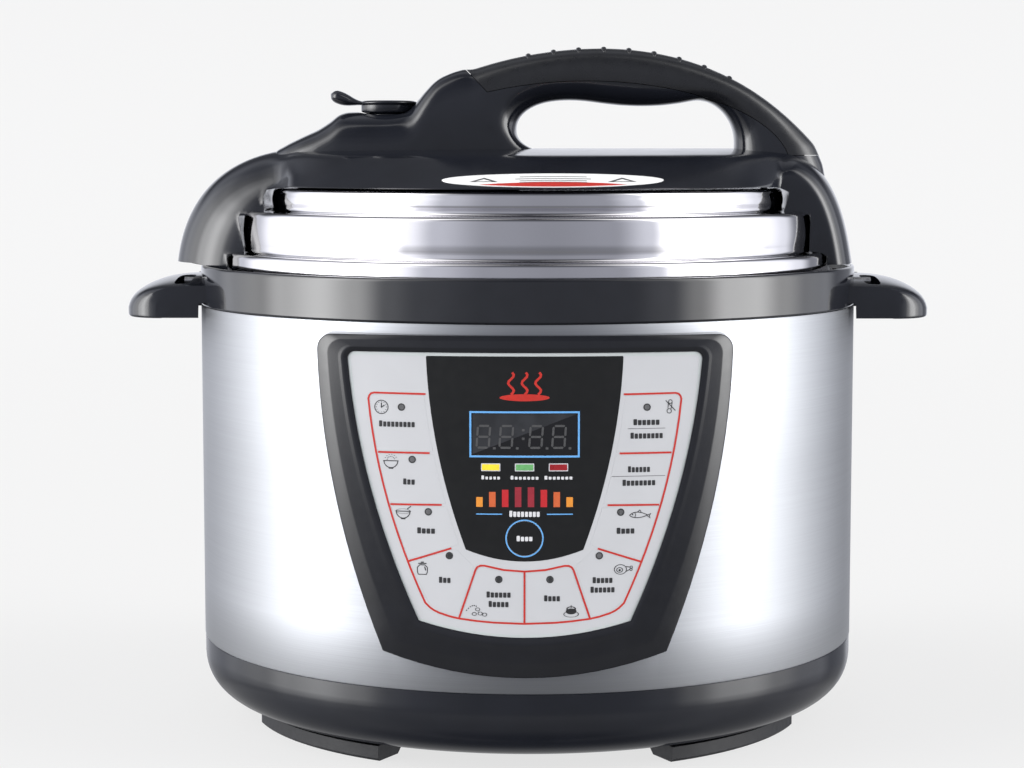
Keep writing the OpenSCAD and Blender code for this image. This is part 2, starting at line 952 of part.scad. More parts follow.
// Blank oval sticker on the front of the cover.
module safety_label() {
    color([0.9, 0.9, 0.9])
        intersection() {
            difference() {
                dome(112, crest_z + 0.25, lid_tops[2] + 0.95);
                dome(112, crest_z + 0.01, lid_tops[2] + 0.71);
            }
            translate([11, -74, 220])
                scale([1, 0.5, 1])
                    cylinder(r = 46, h = 40);
        }
}

// ---- Assembly -------------------------------------------------------------------------------

base_tray();
feet();
base_screws();
outer_housing();
upper_ring();
side_handle_left();
side_handle_right();
side_handle_screws();
outer_pot();
heating_plate();
heating_element();
spring_plate();
pressure_switch();
thermal_fuse();
power_board();
power_relay();
control_board();
display_module();
tact_switches();
indicator_leds();
panel_bezel();
panel_screws();
face_plate();
display_window();
power_inlet();
inlet_pins();
cup_bracket();
condensation_cup();
sensor_cap();
sensor_spring();
inner_pot();
sealing_ring();
seal_rack();
lid_shell();
lid_cover();
lid_handle();
handle_grip();
lid_screws();
valve_tube();
filter_cap();
safety_label();
release_knob();
valve_weight();
float_pin();
float_seal();
key_timer();
key_rice();
key_porridge();
key_soup();
key_beans();
key_cake();
key_meat();
key_fish();
key_pressure();
key_warm();
key_taste();
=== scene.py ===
"""Electric pressure cooker: finished surfaces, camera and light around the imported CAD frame."""

from math import ceil, copysign, cos, dist, hypot, pi, radians, sin, sqrt

import bmesh
import bpy
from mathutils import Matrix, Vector
from mathutils.geometry import delaunay_2d_cdt


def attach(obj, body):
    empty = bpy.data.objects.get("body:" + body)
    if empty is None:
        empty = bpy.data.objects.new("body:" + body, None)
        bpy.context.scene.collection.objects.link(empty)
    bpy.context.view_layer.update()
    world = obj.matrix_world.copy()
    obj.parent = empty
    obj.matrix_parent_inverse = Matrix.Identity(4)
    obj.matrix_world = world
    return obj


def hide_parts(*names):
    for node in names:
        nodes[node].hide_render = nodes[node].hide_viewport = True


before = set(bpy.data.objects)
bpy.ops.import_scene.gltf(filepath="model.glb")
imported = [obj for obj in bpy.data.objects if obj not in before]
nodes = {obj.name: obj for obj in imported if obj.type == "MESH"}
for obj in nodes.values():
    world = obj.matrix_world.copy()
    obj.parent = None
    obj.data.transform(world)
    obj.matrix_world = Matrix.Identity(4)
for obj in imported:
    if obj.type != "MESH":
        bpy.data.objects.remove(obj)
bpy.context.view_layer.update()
MM = 0.001


# ---- Camera, floor and light ------------------------------------------------------------------

def show(obj):
    """Puts a new object into the scene."""
    bpy.context.scene.collection.objects.link(obj)


def make_camera():
    """Camera in front of the object at the height of its lid, looking a little down."""
    data = bpy.data.cameras.new("camera")
    data.lens = 83.78
    data.sensor_width = 36
    data.clip_start = 0.05
    cam = bpy.data.objects.new("camera", data)
    away, round_by = 1.05307, radians(0.4)
    cam.location = (away * sin(round_by), -away * cos(round_by), 0.24653)
    cam.rotation_euler = (radians(90 - 5.6), 0, radians(0.369) + round_by)
    show(cam)
    bpy.context.scene.camera = cam


def feed(tree, node, inputs):
    """Sets each input of a node to a value or to what another node gives."""
    for key, value in inputs.items():
        if isinstance(value, bpy.types.NodeSocket):
            tree.links.new(value, node.inputs[key])
        else:
            node.inputs[key].default_value = value


def new_node(tree, kind, inputs, out, **settings):
    """The output called out of a new node with these inputs and settings."""
    node = tree.nodes.new("ShaderNode" + kind)
    for key, value in settings.items():
        setattr(node, key, value)
    feed(tree, node, inputs)
    return node.outputs[out]


def ramp_node(tree, stops, source):
    node = tree.nodes.new("ShaderNodeValToRGB")
    ramp = node.color_ramp
    ramp.interpolation = "EASE"
    while len(ramp.elements) < len(stops):
        ramp.elements.new(0.5)
    for element, (pos, value) in zip(ramp.elements, stops):
        element.position = pos
        element.color = (*value, 1) if isinstance(value, tuple) else (value, value, value, 1)
    feed(tree, node, {"Fac": source})
    return node.outputs["Color"]


def math_node(tree, kind, *values):
    return new_node(tree, "Math", dict(enumerate(values)), 0, operation=kind)


def mix_node(tree, blend, a, b):
    return new_node(tree, "Mix", {"Factor": 1.0, "A": a, "B": b}, "Result", data_type="RGBA",
                    blend_type=blend)


def make_world():
    """Studio round the object: a tall soft box at each side, grey by the camera, white behind."""
    world = bpy.data.worlds.new("studio")
    bpy.context.scene.world = world
    world.use_nodes = True
    tree = world.node_tree
    towards = new_node(tree, "TexCoord", {}, "Generated")
    x, y, z = [new_node(tree, "SeparateXYZ", {0: towards}, axis) for axis in "XYZ"]
    strength = 14.0

    def halved(value):
        """A value from -1 to 1 as one from 0 to 1."""
        return math_node(tree, "ADD", math_node(tree, "MULTIPLY", value, 0.5), 0.5)

    azimuth = math_node(tree, "ARCTAN2", x, math_node(tree, "MULTIPLY", y, -1.0))
    turn = math_node(tree, "ADD", math_node(tree, "DIVIDE", azimuth, 2 * pi), 0.5)
    height = halved(z)

    # brightness by the angle in degrees from the camera's side; dim parts are a little blue
    around = [(-180, 1.0), (-160, 1.0), (-151, 0.8), (-137, 0.8), (-123, 1.6), (-104, 2.7), (-92, 6.0),
              (-74, 9.8), (-60, 6.2), (-48, 1.6), (-36, 0.8), (-14, 0.45), (10, 0.4), (34, 0.45), (50, 1.0),
              (60, 3.4), (72, 8.4), (84, 8.4), (98, 3.6), (112, 1.6), (124, 1.2), (136, 0.3), (151, 0.35),
              (160, 1.0), (180, 1.0)]

    def tinted(v):
        blue = max(0.0, 1 - v / 2.5)
        return tuple(v * (1 + share * blue) / strength for share in (-0.06, -0.02, 0.12))

    level = ramp_node(tree, [(0.5 + angle / 360, tinted(v)) for angle, v in around], turn)
    # how much of it is left at each height, straight down to straight up
    fade = ramp_node(tree, [(0.0, 0.01), (0.25, 0.02), (0.33, 0.06), (0.37, 0.28), (0.41, 0.65), (0.45, 1.0),
                            (0.72, 1.0), (0.82, 0.7), (0.9, 0.4), (1.0, 0.16)], height)
    # the room behind is dark above the backdrop
    high = ramp_node(tree, [(0.0, 0.0), (0.6, 0.0), (0.68, 1.0), (1.0, 1.0)], height)
    behind = ramp_node(tree, [(0.0, 0.0), (0.8, 0.0), (0.9, 0.9), (1.0, 0.9)], halved(y))
    kept = math_node(tree, "SUBTRACT", 1.0, math_node(tree, "MULTIPLY", high, behind))
    fade = math_node(tree, "MULTIPLY", fade, kept)
    # light that the floor throws back
    glow = ramp_node(tree, [(0.0, 0.002), (0.12, 0.018), (0.3, 0.026), (0.37, 0.01), (0.41, 0.0)], height)
    total = mix_node(tree, "ADD", mix_node(tree, "MULTIPLY", level, fade), glow)
    feed(tree, tree.nodes["Background"], {"Strength": strength, "Color": total})


def make_stage():
    """Pale seamless floor that runs up into a backdrop."""
    line = [(-3.0, 0.0), (1.6, 0.0)]
    for i in range(1, 16):
        a = radians(6 * i)
        line.append((1.6 + 0.8 * sin(a), 0.8 - 0.8 * cos(a)))
    line += [(2.4, 3.0)]
    verts = [(x, y, z) for y, z in line for x in (-4.0, 4.0)]
    faces = [(2 * i, 2 * i + 1, 2 * i + 3, 2 * i + 2) for i in range(len(line) - 1)]
    mesh = bpy.data.meshes.new("backdrop")
    mesh.from_pydata(verts, [], faces)
    mesh.shade_smooth()
    sweep = bpy.data.objects.new("backdrop", mesh)
    show(sweep)
    mat = bpy.data.materials.new("paper")
    mat.use_nodes = True
    feed(mat.node_tree, mat.node_tree.nodes["Principled BSDF"],
         {"Base Color": (0.12, 0.12, 0.12, 1), "Roughness": 0.9, "Specular IOR Level": 0.0,
          "Emission Color": (1, 1, 1, 1), "Emission Strength": 0.73})
    mesh.materials.append(mat)
    sweep.visible_glossy = False
    sweep.visible_shadow = False


# ---- Finishes ---------------------------------------------------------------------------------

def surface(name, colour, rough, metal=0.0, mottle=0.08, mottle_size=8.0, rough_change=0.08, rough_size=3.0,
            bump=0.02, bump_size=0.5, stretch=(1, 1, 1), **extra):
    """A finish whose colour, gloss and height all vary a little. Sizes are in millimetres."""
    mat = bpy.data.materials.new(name)
    mat.use_nodes = True
    tree = mat.node_tree
    coords = new_node(tree, "TexCoord", {}, "Object")
    place = new_node(tree, "Mapping", {"Scale": stretch, "Vector": coords}, "Vector")

    def noise(size, detail):
        inputs = {"Scale": 1 / (size * MM), "Detail": detail, "Vector": place}
        return new_node(tree, "TexNoise", inputs, "Fac")

    low = tuple(c * (1 - mottle) for c in colour)
    high = tuple(min(1.0, c * (1 + mottle)) for c in colour)
    inputs = {
        "Base Color": ramp_node(tree, [(0.3, low), (0.7, high)], noise(mottle_size, 3)),
        "Roughness": new_node(tree, "MapRange", {
            "From Min": 0.25, "From Max": 0.75, "To Min": max(0.02, rough - rough_change),
            "To Max": rough + rough_change, "Value": noise(rough_size, 4)}, "Result"),
        "Normal": new_node(tree, "Bump", {"Strength": 0.6, "Distance": bump * MM,
                                          "Height": noise(bump_size, 2)}, "Normal"),
        "Metallic": metal,
    }
    if "Anisotropic" in extra:
        inputs["Tangent"] = new_node(tree, "Tangent", {}, "Tangent", direction_type="RADIAL", axis="Z")
    inputs.update({key.replace("_", " "): value for key, value in extra.items()})
    feed(tree, tree.nodes["Principled BSDF"], inputs)
    return mat


# ---- Building meshes --------------------------------------------------------------------------

class Shape:
    """A mesh under construction, in millimetres, with a finish for each face."""

    def __init__(self):
        self.verts, self.faces, self.looks = [], [], []

    def add(self, verts, faces, look):
        base = len(self.verts)
        self.verts += [tuple(v) for v in verts]
        self.faces += [tuple(base + i for i in face) for face in faces]
        self.looks += [look] * len(faces)

    def make(self, name, sharp=35):
        mesh = bpy.data.meshes.new(name)
        mesh.from_pydata([(x * MM, y * MM, z * MM) for x, y, z in self.verts], [], self.faces)
        names = sorted(set(self.looks))
        for look in names:
            mesh.materials.append(M[look])
        mesh.polygons.foreach_set("material_index", [names.index(look) for look in self.looks])
        tidy = bmesh.new()
        tidy.from_mesh(mesh)
        bmesh.ops.remove_doubles(tidy, verts=tidy.verts, dist=2e-7)
        bmesh.ops.recalc_face_normals(tidy, faces=tidy.faces)
        tidy.to_mesh(mesh)
        tidy.free()
        mesh.shade_smooth()
        mesh.set_sharp_from_angle(angle=radians(sharp))
        obj = bpy.data.objects.new(name, mesh)
        show(obj)
        return obj

    def place(self, name, body, slot, stands_for=(), sharp=35):
        return settle(self.make(name, sharp), body, stands_for)


def settle(obj, body, stands_for=()):
    """Puts a finished piece on its CAD body and hides the CAD nodes it stands for."""
    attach(obj, body)
    if stands_for:
        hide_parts(*stands_for)
    return obj


def with_modifiers(obj, *steps):
    """Applies these modifiers to the object, each a kind and its settings."""
    for kind, settings in steps:
        modifier = obj.modifiers.new(kind, kind)
        for key, value in settings.items():
            setattr(modifier, key, value)
    bpy.context.view_layer.update()
    shaped = bpy.data.meshes.new_from_object(obj.evaluated_get(bpy.context.evaluated_depsgraph_get()))
    obj.modifiers.clear()
    obj.data = shaped


def cut(obj, cutter, operation="DIFFERENCE"):
    """Cuts, joins or clips a piece with another one, which then goes away."""
    with_modifiers(obj, ("BOOLEAN", {"object": cutter, "operation": operation, "solver": "EXACT"}))
    bpy.data.objects.remove(cutter)


def carve(obj, tool_shape, sharp):
    """Cuts a shape out of a piece and marks the piece's sharp edges again."""
    cut(obj, tool_shape.make("cutter"))
    obj.data.set_sharp_from_angle(angle=radians(sharp))


def bezier(p, n=12):
    out = []
    for i in range(n + 1):
        t = i / n
        s = 1 - t
        w = (s * s * s, 3 * s * s * t, 3 * s * t * t, t * t * t)
        out.append(tuple(sum(w[k] * p[k][j] for k in range(4)) for j in range(2)))
    return out


def arc(cx, cz, r, a0, a1, n=6):
    return [(cx + r * cos(radians(a0 + (a1 - a0) * i / n)),
             cz + r * sin(radians(a0 + (a1 - a0) * i / n))) for i in range(n + 1)]


def circle(cx, cz, r, n=24, squash=1.0):
    angles = [2 * pi * i / n for i in range(n)]
    return [(cx + r * cos(a), cz + squash * r * sin(a)) for a in angles]


def mirrored(points):
    return [(-x, z) for x, z in reversed(points)]


def grown(points, g):
    """A counterclockwise outline moved outwards by g."""
    out = []
    for i, (x, z) in enumerate(points):
        ax, az = points[i - 1]
        bx, bz = points[(i + 1) % len(points)]
        la, lb = hypot(x - ax, z - az), hypot(bx - x, bz - z)
        na, nb = ((z - az) / la, (ax - x) / la), ((bz - z) / lb, (x - bx) / lb)
        k = g / (1 + na[0] * nb[0] + na[1] * nb[1])
        out.append((x + k * (na[0] + nb[0]), z + k * (na[1] + nb[1])))
    return out


def stroke(points, width):
    """Outline of an open line of this width."""
    left, right = [], []
    for i, (x, z) in enumerate(points):
        a = points[max(i - 1, 0)]
        b = points[min(i + 1, len(points) - 1)]
        if 0 < i < len(points) - 1:
            d1 = (x - a[0], z - a[1])
            d2 = (b[0] - x, b[1] - z)
            l1, l2 = hypot(*d1), hypot(*d2)
            d = (d1[0] / l1 + d2[0] / l2, d1[1] / l1 + d2[1] / l2)
            half = width / 2 / max(0.5, hypot(*d) / 2)
        else:
            d = (b[0] - a[0], b[1] - a[1])
            half = width / 2
        length = hypot(*d)
        n = (-d[1] / length * half, d[0] / length * half)
        left.append((x + n[0], z + n[1]))
        right.append((x - n[0], z - n[1]))
    return right + left[::-1]


def rounded_box(cx, cz, w, h, r=0.3):
    out = []
    for sx, sz, a in ((1, -1, -90), (1, 1, 0), (-1, 1, 90), (-1, -1, 180)):
        out += arc(cx + sx * (w / 2 - r), cz + sz * (h / 2 - r), r, a, a + 90, 3)
    return out


def inside(x, z, loop):
    """Whether a point lies inside an outline."""
    hit = False
    for i, (ax, az) in enumerate(loop):
        bx, bz = loop[i - 1]
        if (az > z) != (bz > z) and x < (bx - ax) * (z - az) / (bz - az) + ax:
            hit = not hit
    return hit


def filled(outer, holes=(), step=4.0):
    """Triangles of an outline with holes, cut along upright lines so that it can be bent."""
    verts, edges = [], []
    for loop in [outer, *holes]:
        base = len(verts)
        verts += [Vector(p) for p in loop]
        edges += [(base + i, base + (i + 1) % len(loop)) for i in range(len(loop))]
    xs, zs = [p[0] for p in outer], [p[1] for p in outer]
    k = ceil(min(xs) / step)
    while k * step < max(xs):
        if k * step - min(xs) > 0.05 and max(xs) - k * step > 0.05:
            edges.append((len(verts), len(verts) + 1))
            verts += [Vector((k * step + 0.0013, min(zs) - 1)), Vector((k * step + 0.0013, max(zs) + 1))]
        k += 1
    points, _, tris = delaunay_2d_cdt(verts, edges, [], 0, 1e-6)[:3]
    kept = []
    for t in tris:
        x = sum(points[i][0] for i in t) / 3
        z = sum(points[i][1] for i in t) / 3
        if inside(x, z, outer) and not any(inside(x, z, hole) for hole in holes):
            kept.append(tuple(t))
    return points, kept


def sheet(shape, outer, holes, front, back, look, where, step=4.0):
    """A thin solid on a surface: where(x, z, height) gives the place of a point that far above it."""
    points, tris = filled(outer, holes, step)
    used = sorted({i for t in tris for i in t})
    at = {v: i for i, v in enumerate(used)}
    n = len(used)
    verts = [where(points[v][0], points[v][1], front) for v in used] + \
            [where(points[v][0], points[v][1], back) for v in used]
    faces = [tuple(at[i] for i in t) for t in tris] + [tuple(n + at[i] for i in reversed(t)) for t in tris]
    sides = {side: None for t in tris for side in ((t[0], t[1]), (t[1], t[2]), (t[2], t[0]))}
    faces += [(at[a], n + at[a], n + at[b], at[b]) for a, b in sides if (b, a) not in sides]
    shape.add(verts, faces, look)


def lathe(shape, profile, look, turns=192, centre=(0, 0)):
    """Full turn of a closed outline of radius and height."""
    n = len(profile)
    angles = [2 * pi * k / turns for k in range(turns)]
    cx, cy = centre
    verts = [(cx + r * cos(a), cy + r * sin(a), z) for a in angles for r, z in profile]
    faces = []
    for k in range(turns):
        for i in range(n):
            j = (i + 1) % n
            if profile[i][0] < 1e-6 and profile[j][0] < 1e-6:
                continue
            a, b = k * n, ((k + 1) % turns) * n
            faces.append((a + i, b + i, b + j, a + j))
    shape.add(verts, faces, look)


def loft(shape, sections, look, caps=True):
    """Skin over closed sections that all have the same number of points."""
    n = len(sections[0])
    faces = []
    for k in range(len(sections) - 1):
        for i in range(n):
            j = (i + 1) % n
            faces.append((k * n + i, k * n + j, (k + 1) * n + j, (k + 1) * n + i))
    if caps:
        faces += [tuple(range(n)), tuple(range((len(sections) - 1) * n, len(sections) * n))[::-1]]
    shape.add([p for s in sections for p in s], faces, look)


def prism(shape, points, near, far, look):
    """A solid with this outline in x and z, between two places along y."""
    n = len(points)
    shape.add([(x, y, z) for y in (near, far) for x, z in points],
              [tuple(range(n)), tuple(range(n, 2 * n))[::-1]] +
              [(i, (i + 1) % n, n + (i + 1) % n, n + i) for i in range(n)], look)


def superellipse(n, power):
    """Points round a rounded square, each coordinate from -1 to 1."""
    out = []
    for i in range(n):
        a = 2 * pi * (i + 0.5) / n
        c, s = cos(a), sin(a)
        out.append((copysign(abs(c) ** (2 / power), c), copysign(abs(s) ** (2 / power), s)))
    return out


def smooth_step(t):
    t = min(1.0, max(0.0, t))
    return t * t * (3 - 2 * t)


def resampled(points, n):
    """n + 1 points at even distances along a line."""
    total = [0.0]
    for a, b in zip(points, points[1:]):
        total.append(total[-1] + dist(a, b))
    out, k = [], 0
    for i in range(n + 1):
        d = total[-1] * i / n
        while k < len(points) - 2 and total[k + 1] < d:
            k += 1
        t = (d - total[k]) / (total[k + 1] - total[k])
        out.append(tuple(a + (b - a) * t for a, b in zip(points[k], points[k + 1])))
    return out


# ---- Control panel ----------------------------------------------------------------------------

# radius of the bent face, how far it stands out, and radius of the steel body
FACE_R, FACE_Y, BODY_R = 265.0, 147.0, 143.0
# sides of the frame, the plate, the black field and the keys, as side_x takes them
BEZEL_SIDE = (80.9, 176, 0.01, 0.0016)
PLATE_SIDE = (68.7, 169.6, 0.0736, 0.00184)
BLACK_SIDE = (37.85, 168.4, 0.0383, 0.0022)
KEY_SIDE = (60.5, 153.6, 0.0850, 0.0023)
# how far the frame's rim stands above the plate, and half the web between keys
RIM, WEB = 0.9, 0.6


def on_face(x, z, height=0.0):
    """The place of a point of the panel, this far above the bent face."""
    return x, FACE_R - FACE_Y - sqrt((FACE_R + height) ** 2 - x * x), z


def side_x(side, z):
    """Half width at height z of an outline whose side is (half width at the top, top, slope, curve)."""
    return side[0] - side[2] * (side[1] - z) - side[3] * (side[1] - z) ** 2


def shield(side, low_z, bottom_z, r, n=14):
    """Outline that narrows downwards, with round upper corners and a bowed lower edge."""
    top = side[1] - r
    rise = (top - low_z) / n
    right = [(side_x(side, low_z + rise * i), low_z + rise * i) for i in range(n + 1)]
    right += arc(side_x(side, top) - r, top, r, 12, 90, 7)
    half = right[0][0]
    low = []
    for i in range(1, 16):
        across = 2 * i / 16 - 1
        low.append((half * across, bottom_z + (low_z - bottom_z) * across ** 2))
    high = [(right[-1][0] * (1 - 2 * i / 20), right[-1][1]) for i in range(1, 20)]
    return right + high + mirrored(right) + low


def frame_shield():
    """Outer outline of the frame."""
    return shield(BEZEL_SIDE, 52.5, 43.2, 6)


def plate_shield(inset):
    """Outline of the face plate, this far inside its edge."""
    return shield((PLATE_SIDE[0] - inset, PLATE_SIDE[1] - inset, PLATE_SIDE[2], PLATE_SIDE[3]),
                  65.3 + 0.8 * inset, 59.1 + inset, max(3 - inset, 0.8))


def strip_key(top, low_out, low_in):
    """Key between the outer key line and the black field."""
    out = []
    for side, start, end, gap in ((KEY_SIDE, low_out, top, 0), (BLACK_SIDE, top, low_in, 1.2)):
        for i in range(7):
            z = start + (end - start) * i / 6
            out.append((side_x(side, z) + gap, z))
    return out


# lines that the right hand keys sit between, from the top down
KEY_LINES = [
    strip_key(153.6, 130.7, 130.7),
    strip_key(130.7, 110.6, 110.6),
    strip_key(110.6, 88.5, 95),
    [(25.3, 66.5), (33.1, 68.6), (37.3, 71.7), (side_x(KEY_SIDE, 88.5), 88.5), (26.4, 94.4), (23.8, 91.8),
     (18.9, 87.2)],
    [(0, 64.7), (12, 65.1), (25.3, 66.5), (18.7, 86.2), (17, 87.5), (8, 85.7), (0, 85.1)],
]
KEY_STEMS = [(49, 142), (45, 120.5), (38.5, 101), (31, 80), (11.5, 75)]
LEFT_KEYS = ["timer", "rice", "porridge", "soup", "beans"]
RIGHT_KEYS = ["warm", "pressure", "fish", "meat", "cake"]


def build_frame():
    """Frame round the face plate: up from the steel over two soft creases to a rim, down to the plate."""
    outer, rim = frame_shield(), plate_shield(-1.4)
    inner, deep = plate_shield(-0.1), plate_shield(0.15)

    def rise(line, height):
        out = []
        for x, z in line:
            r = BODY_R + height * (FACE_R + RIM - BODY_R)
            out.append((x, height * (FACE_R - FACE_Y) - sqrt(r * r - x * x), z))
        return out

    def between(t):
        return [(a[0] + (b[0] - a[0]) * t, a[1] + (b[1] - a[1]) * t) for a, b in zip(outer, rim)]

    # share of the way from the outer edge to the rim, and the height there
    steps = [(0.0, -0.03), (0.0, 0.3), (0.0, 0.68), (0.004, 0.72), (0.02, 0.745), (0.05, 0.762), (0.2, 0.834),
             (0.36, 0.908), (0.385, 0.9175), (0.4, 0.9215), (0.42, 0.9245), (0.6, 0.953), (0.77, 0.9785),
             (0.79, 0.982), (0.87, 1.008), (0.89, 1.012), (0.91, 1.013), (0.96, 1.01), (1.0, 1.0)]
    rows = [rise(between(t), height) for t, height in steps]
    rows += [[on_face(x, z, 0.5) for x, z in inner], [on_face(x, z, 0.2) for x, z in inner],
             [on_face(x, z, -0.6) for x, z in deep]]
    rows += [[(x, y + 1.5, z) for x, y, z in rows[-1]], [(x, y + 2.4, z) for x, y, z in rows[8]],
             [(x * 0.99, y + 3.0, z) for x, y, z in rows[0]]]
    shape = Shape()
    loft(shape, rows + rows[:1], "frame_gloss", caps=False)
    shape.place("panel_frame", "body", "black_gloss", ["panel_bezel"], sharp=50)


def prints(shape, items, side=1, lift=0.06):
    """Printed shapes, each an outline, its holes and a colour, a little proud of the film."""
    for outer, holes, look in items:
        if side < 0:
            outer, holes = mirrored(outer), [mirrored(h) for h in holes]
        sheet(shape, outer, holes, lift, -0.3, look, on_face)


def word(cx, cz, width, height=2.0, look="print_dark", gap=0.36):
    """A word shown as a row of plain blocks, the first one taller."""
    count = max(2, round(width / 1.6))
    pitch = width / count
    blocks = []
    for i in range(count):
        taller = 0.36 if i == 0 else 0
        x = cx - width / 2 + pitch * (i + 0.5)
        blocks.append((rounded_box(x, cz + taller / 2, pitch - gap, height + taller, 0.25), [], look))
    return blocks


def ring_print(cx, cz, r, width, look="print_dark", squash=1.0, n=32):
    return (circle(cx, cz, r, n, squash), [circle(cx, cz, r - width, n, squash)], look)


def line(points, width=0.32, look="print_dark"):
    return (stroke(points, width), [], look)


def dot(cx, cz, r, n=24, squash=1.0, look="print_dark"):
    return (circle(cx, cz, r, n, squash), [], look)


def lines(cx, cz, *rows):
    """Dark lines about a centre, each a width and its points."""
    return [line([(cx + x, cz + z) for x, z in points], width) for width, *points in rows]


def lamp(cx, cz):
    return [dot(cx, cz, 1.45), dot(cx, cz, 1.0, look="lamp_grey")]


def icon_clock(cx, cz):
    items = [ring_print(cx, cz, 2.75, 0.3)]
    for k in range(12):
        a = radians(30 * k)
        items.append(dot(cx + 2.0 * sin(a), cz + 2.0 * cos(a), 0.16, 8))
    return items + lines(cx, cz, (0.4, (0, -0.2), (0, 1.6)), (0.4, (-0.2, -0.2), (1.2, 0.7)))


def icon_bowl(cx, cz, heaped):
    items = [line(arc(cx, cz + 0.4, 2.7, 180, 360, 12), 0.34)]
    items += lines(cx, cz, (0.34, (-3.0, 0.4), (3.0, 0.4)), (0.45, (-0.9, -2.5), (0.9, -2.5)))
    if not heaped:
        return items + [ring_print(cx, cz + 0.4, 2.9, 0.28, squash=0.34)] + \
            lines(cx, cz, (0.34, (1.6, 1.3), (3.1, 2.4)))
    for k in range(13):
        a = radians(12 + 13 * k)
        r = 2.2 if k % 2 else 1.3
        x, z = r * cos(a), 0.8 + 0.9 * r * sin(a)
        items += lines(cx, cz, (0.24, (x, z), (x + 0.35 * cos(a + 0.9), z + 0.35 * sin(a + 0.9))))
    return items


def icon_jar(cx, cz):
    half = [(1.7, -2.3), (2.1, -1.2), (2.1, 0.6), (1.1, 1.7)]
    body = [(cx + x, cz + z) for x, z in [(-1.7, -2.3)] + half + mirrored(half)[:3]]
    return [(body, [grown(body, -0.3)], "print_dark")] + \
        lines(cx, cz, (0.4, (-1.6, 2.1), (1.6, 2.1)), (0.4, (-0.6, 2.6), (0.6, 2.6)),
              (0.4, (0.9, 0.9), (1.3, -0.6)))


def icon_beans(cx, cz):
    items = [ring_print(cx + x, cz + z, 0.95, 0.26, squash=0.75)
             for x, z in ((-0.4, -1.2), (1.9, -1.0), (0.9, 0.6), (3.6, -1.4))]
    return items + [dot(cx - 3.4 + 0.75 * k, cz + 0.2 + 1.9 * sin(0.42 * k), 0.24, 10) for k in range(6)]


def icon_cake(cx, cz):
    return [ring_print(cx, cz - 1.3, 3.0, 0.34, squash=0.4), dot(cx, cz - 0.2, 2.1, 24, 0.55),
            (circle(cx, cz + 0.8, 1.9, 24, 0.5), [circle(cx, cz + 0.85, 1.3, 20, 0.45)], "print_dark"),
            line([(cx, cz + 1.2), (cx, cz + 2.2)], 0.34)]


def icon_meat(cx, cz):
    items = [ring_print(cx - 1.0, cz - 0.1, 2.5, 0.3, squash=0.8),
             ring_print(cx - 1.3, cz - 0.3, 1.3, 0.3, squash=0.8), dot(cx - 1.3, cz - 0.4, 0.45, 12)]
    items += lines(cx, cz, (0.3, (1.1, 1.0), (2.8, 0.7)), (0.3, (1.1, -1.0), (2.7, -0.1)))
    return items + [ring_print(cx + 3.2, cz + 0.7, 0.6, 0.26, n=14),
                    ring_print(cx + 3.1, cz - 0.2, 0.6, 0.26, n=14)]


def icon_fish(cx, cz):
    top = bezier([(-4.0, -0.1), (-2.4, 1.7), (0.6, 1.3), (3.0, -0.1)], 8)
    low = bezier([(-4.0, -0.1), (-2.6, -1.5), (0.6, -1.3), (3.0, -0.1)], 8)
    tail = [(3.0, -0.1), (4.3, 0.5), (3.7, -0.3), (4.0, -1.3), (2.9, -0.4)]
    fin = [(-0.9, 1.15), (0, 1.9), (0.6, 0.95)]
    gill = [(-1.9, 0.9), (-1.6, 0), (-1.9, -0.9)]
    return lines(cx, cz, (0.3, *top), (0.3, *low), (0.3, *tail)) + [dot(cx - 2.8, cz + 0.15, 0.28, 10)] + \
        lines(cx, cz, (0.28, *fin), (0.24, *gill))


def icon_thermometer(cx, cz):
    return [ring_print(cx - 0.4, cz - 1.9, 1.0, 0.28, n=18), ring_print(cx, cz + 1.7, 0.85, 0.28, n=16)] + \
        lines(cx, cz, (0.28, (-0.9, -1.0), (-0.75, 1.4)), (0.28, (0.3, -1.1), (0.75, 1.4)),
              (0.34, (-1.8, 2.2), (2.0, -1.8)))


KEY_PRINTS = {
    "timer": icon_clock(-55.2, 148.2) + lamp(-47.4, 148.3) + word(-49.2, 141.6, 14.2),
    "rice": icon_bowl(-51.6, 127.0, True) + lamp(-43.3, 128.1) + word(-44.6, 119.3, 4.8),
    "porridge": icon_bowl(-46.9, 107.5, False) + lamp(-37.1, 107.9) + word(-38, 100.4, 7.2),
    "soup": icon_jar(-39.5, 85.6) + lamp(-29, 91.0) + word(-30.8, 81.3, 4.8),
    "beans": icon_beans(-19.0, 69.6) + lamp(-9.9, 82.0) + word(-10, 75.9, 9.6) + word(-10, 72.2, 8.0),
    "cake": icon_cake(18.0, 69.7) + lamp(9.8, 82.0) + word(10.6, 74.5, 6.4),
    "meat": icon_meat(38.0, 85.7) + lamp(28.8, 91.1) + word(30.1, 81.4, 8.0) + word(30.1, 77.7, 9.6),
    "fish": icon_fish(44.4, 106.7) + lamp(37, 107.9) + word(38.9, 100.5, 7.2),
    "pressure": word(44, 124.3, 8.8) + word(44, 119.1, 13.0) +
                [line([(33.5, 121.8), (54.2, 121.8)], 0.2, "lamp_grey")],
    "warm": icon_thermometer(56.0, 148.7) + lamp(47, 148.4) + word(46.8, 142.5, 10.4) +
            word(46.9, 137.3, 12.8) + [line([(39.6, 140.2), (54.1, 140.2)], 0.2, "lamp_grey")],
}


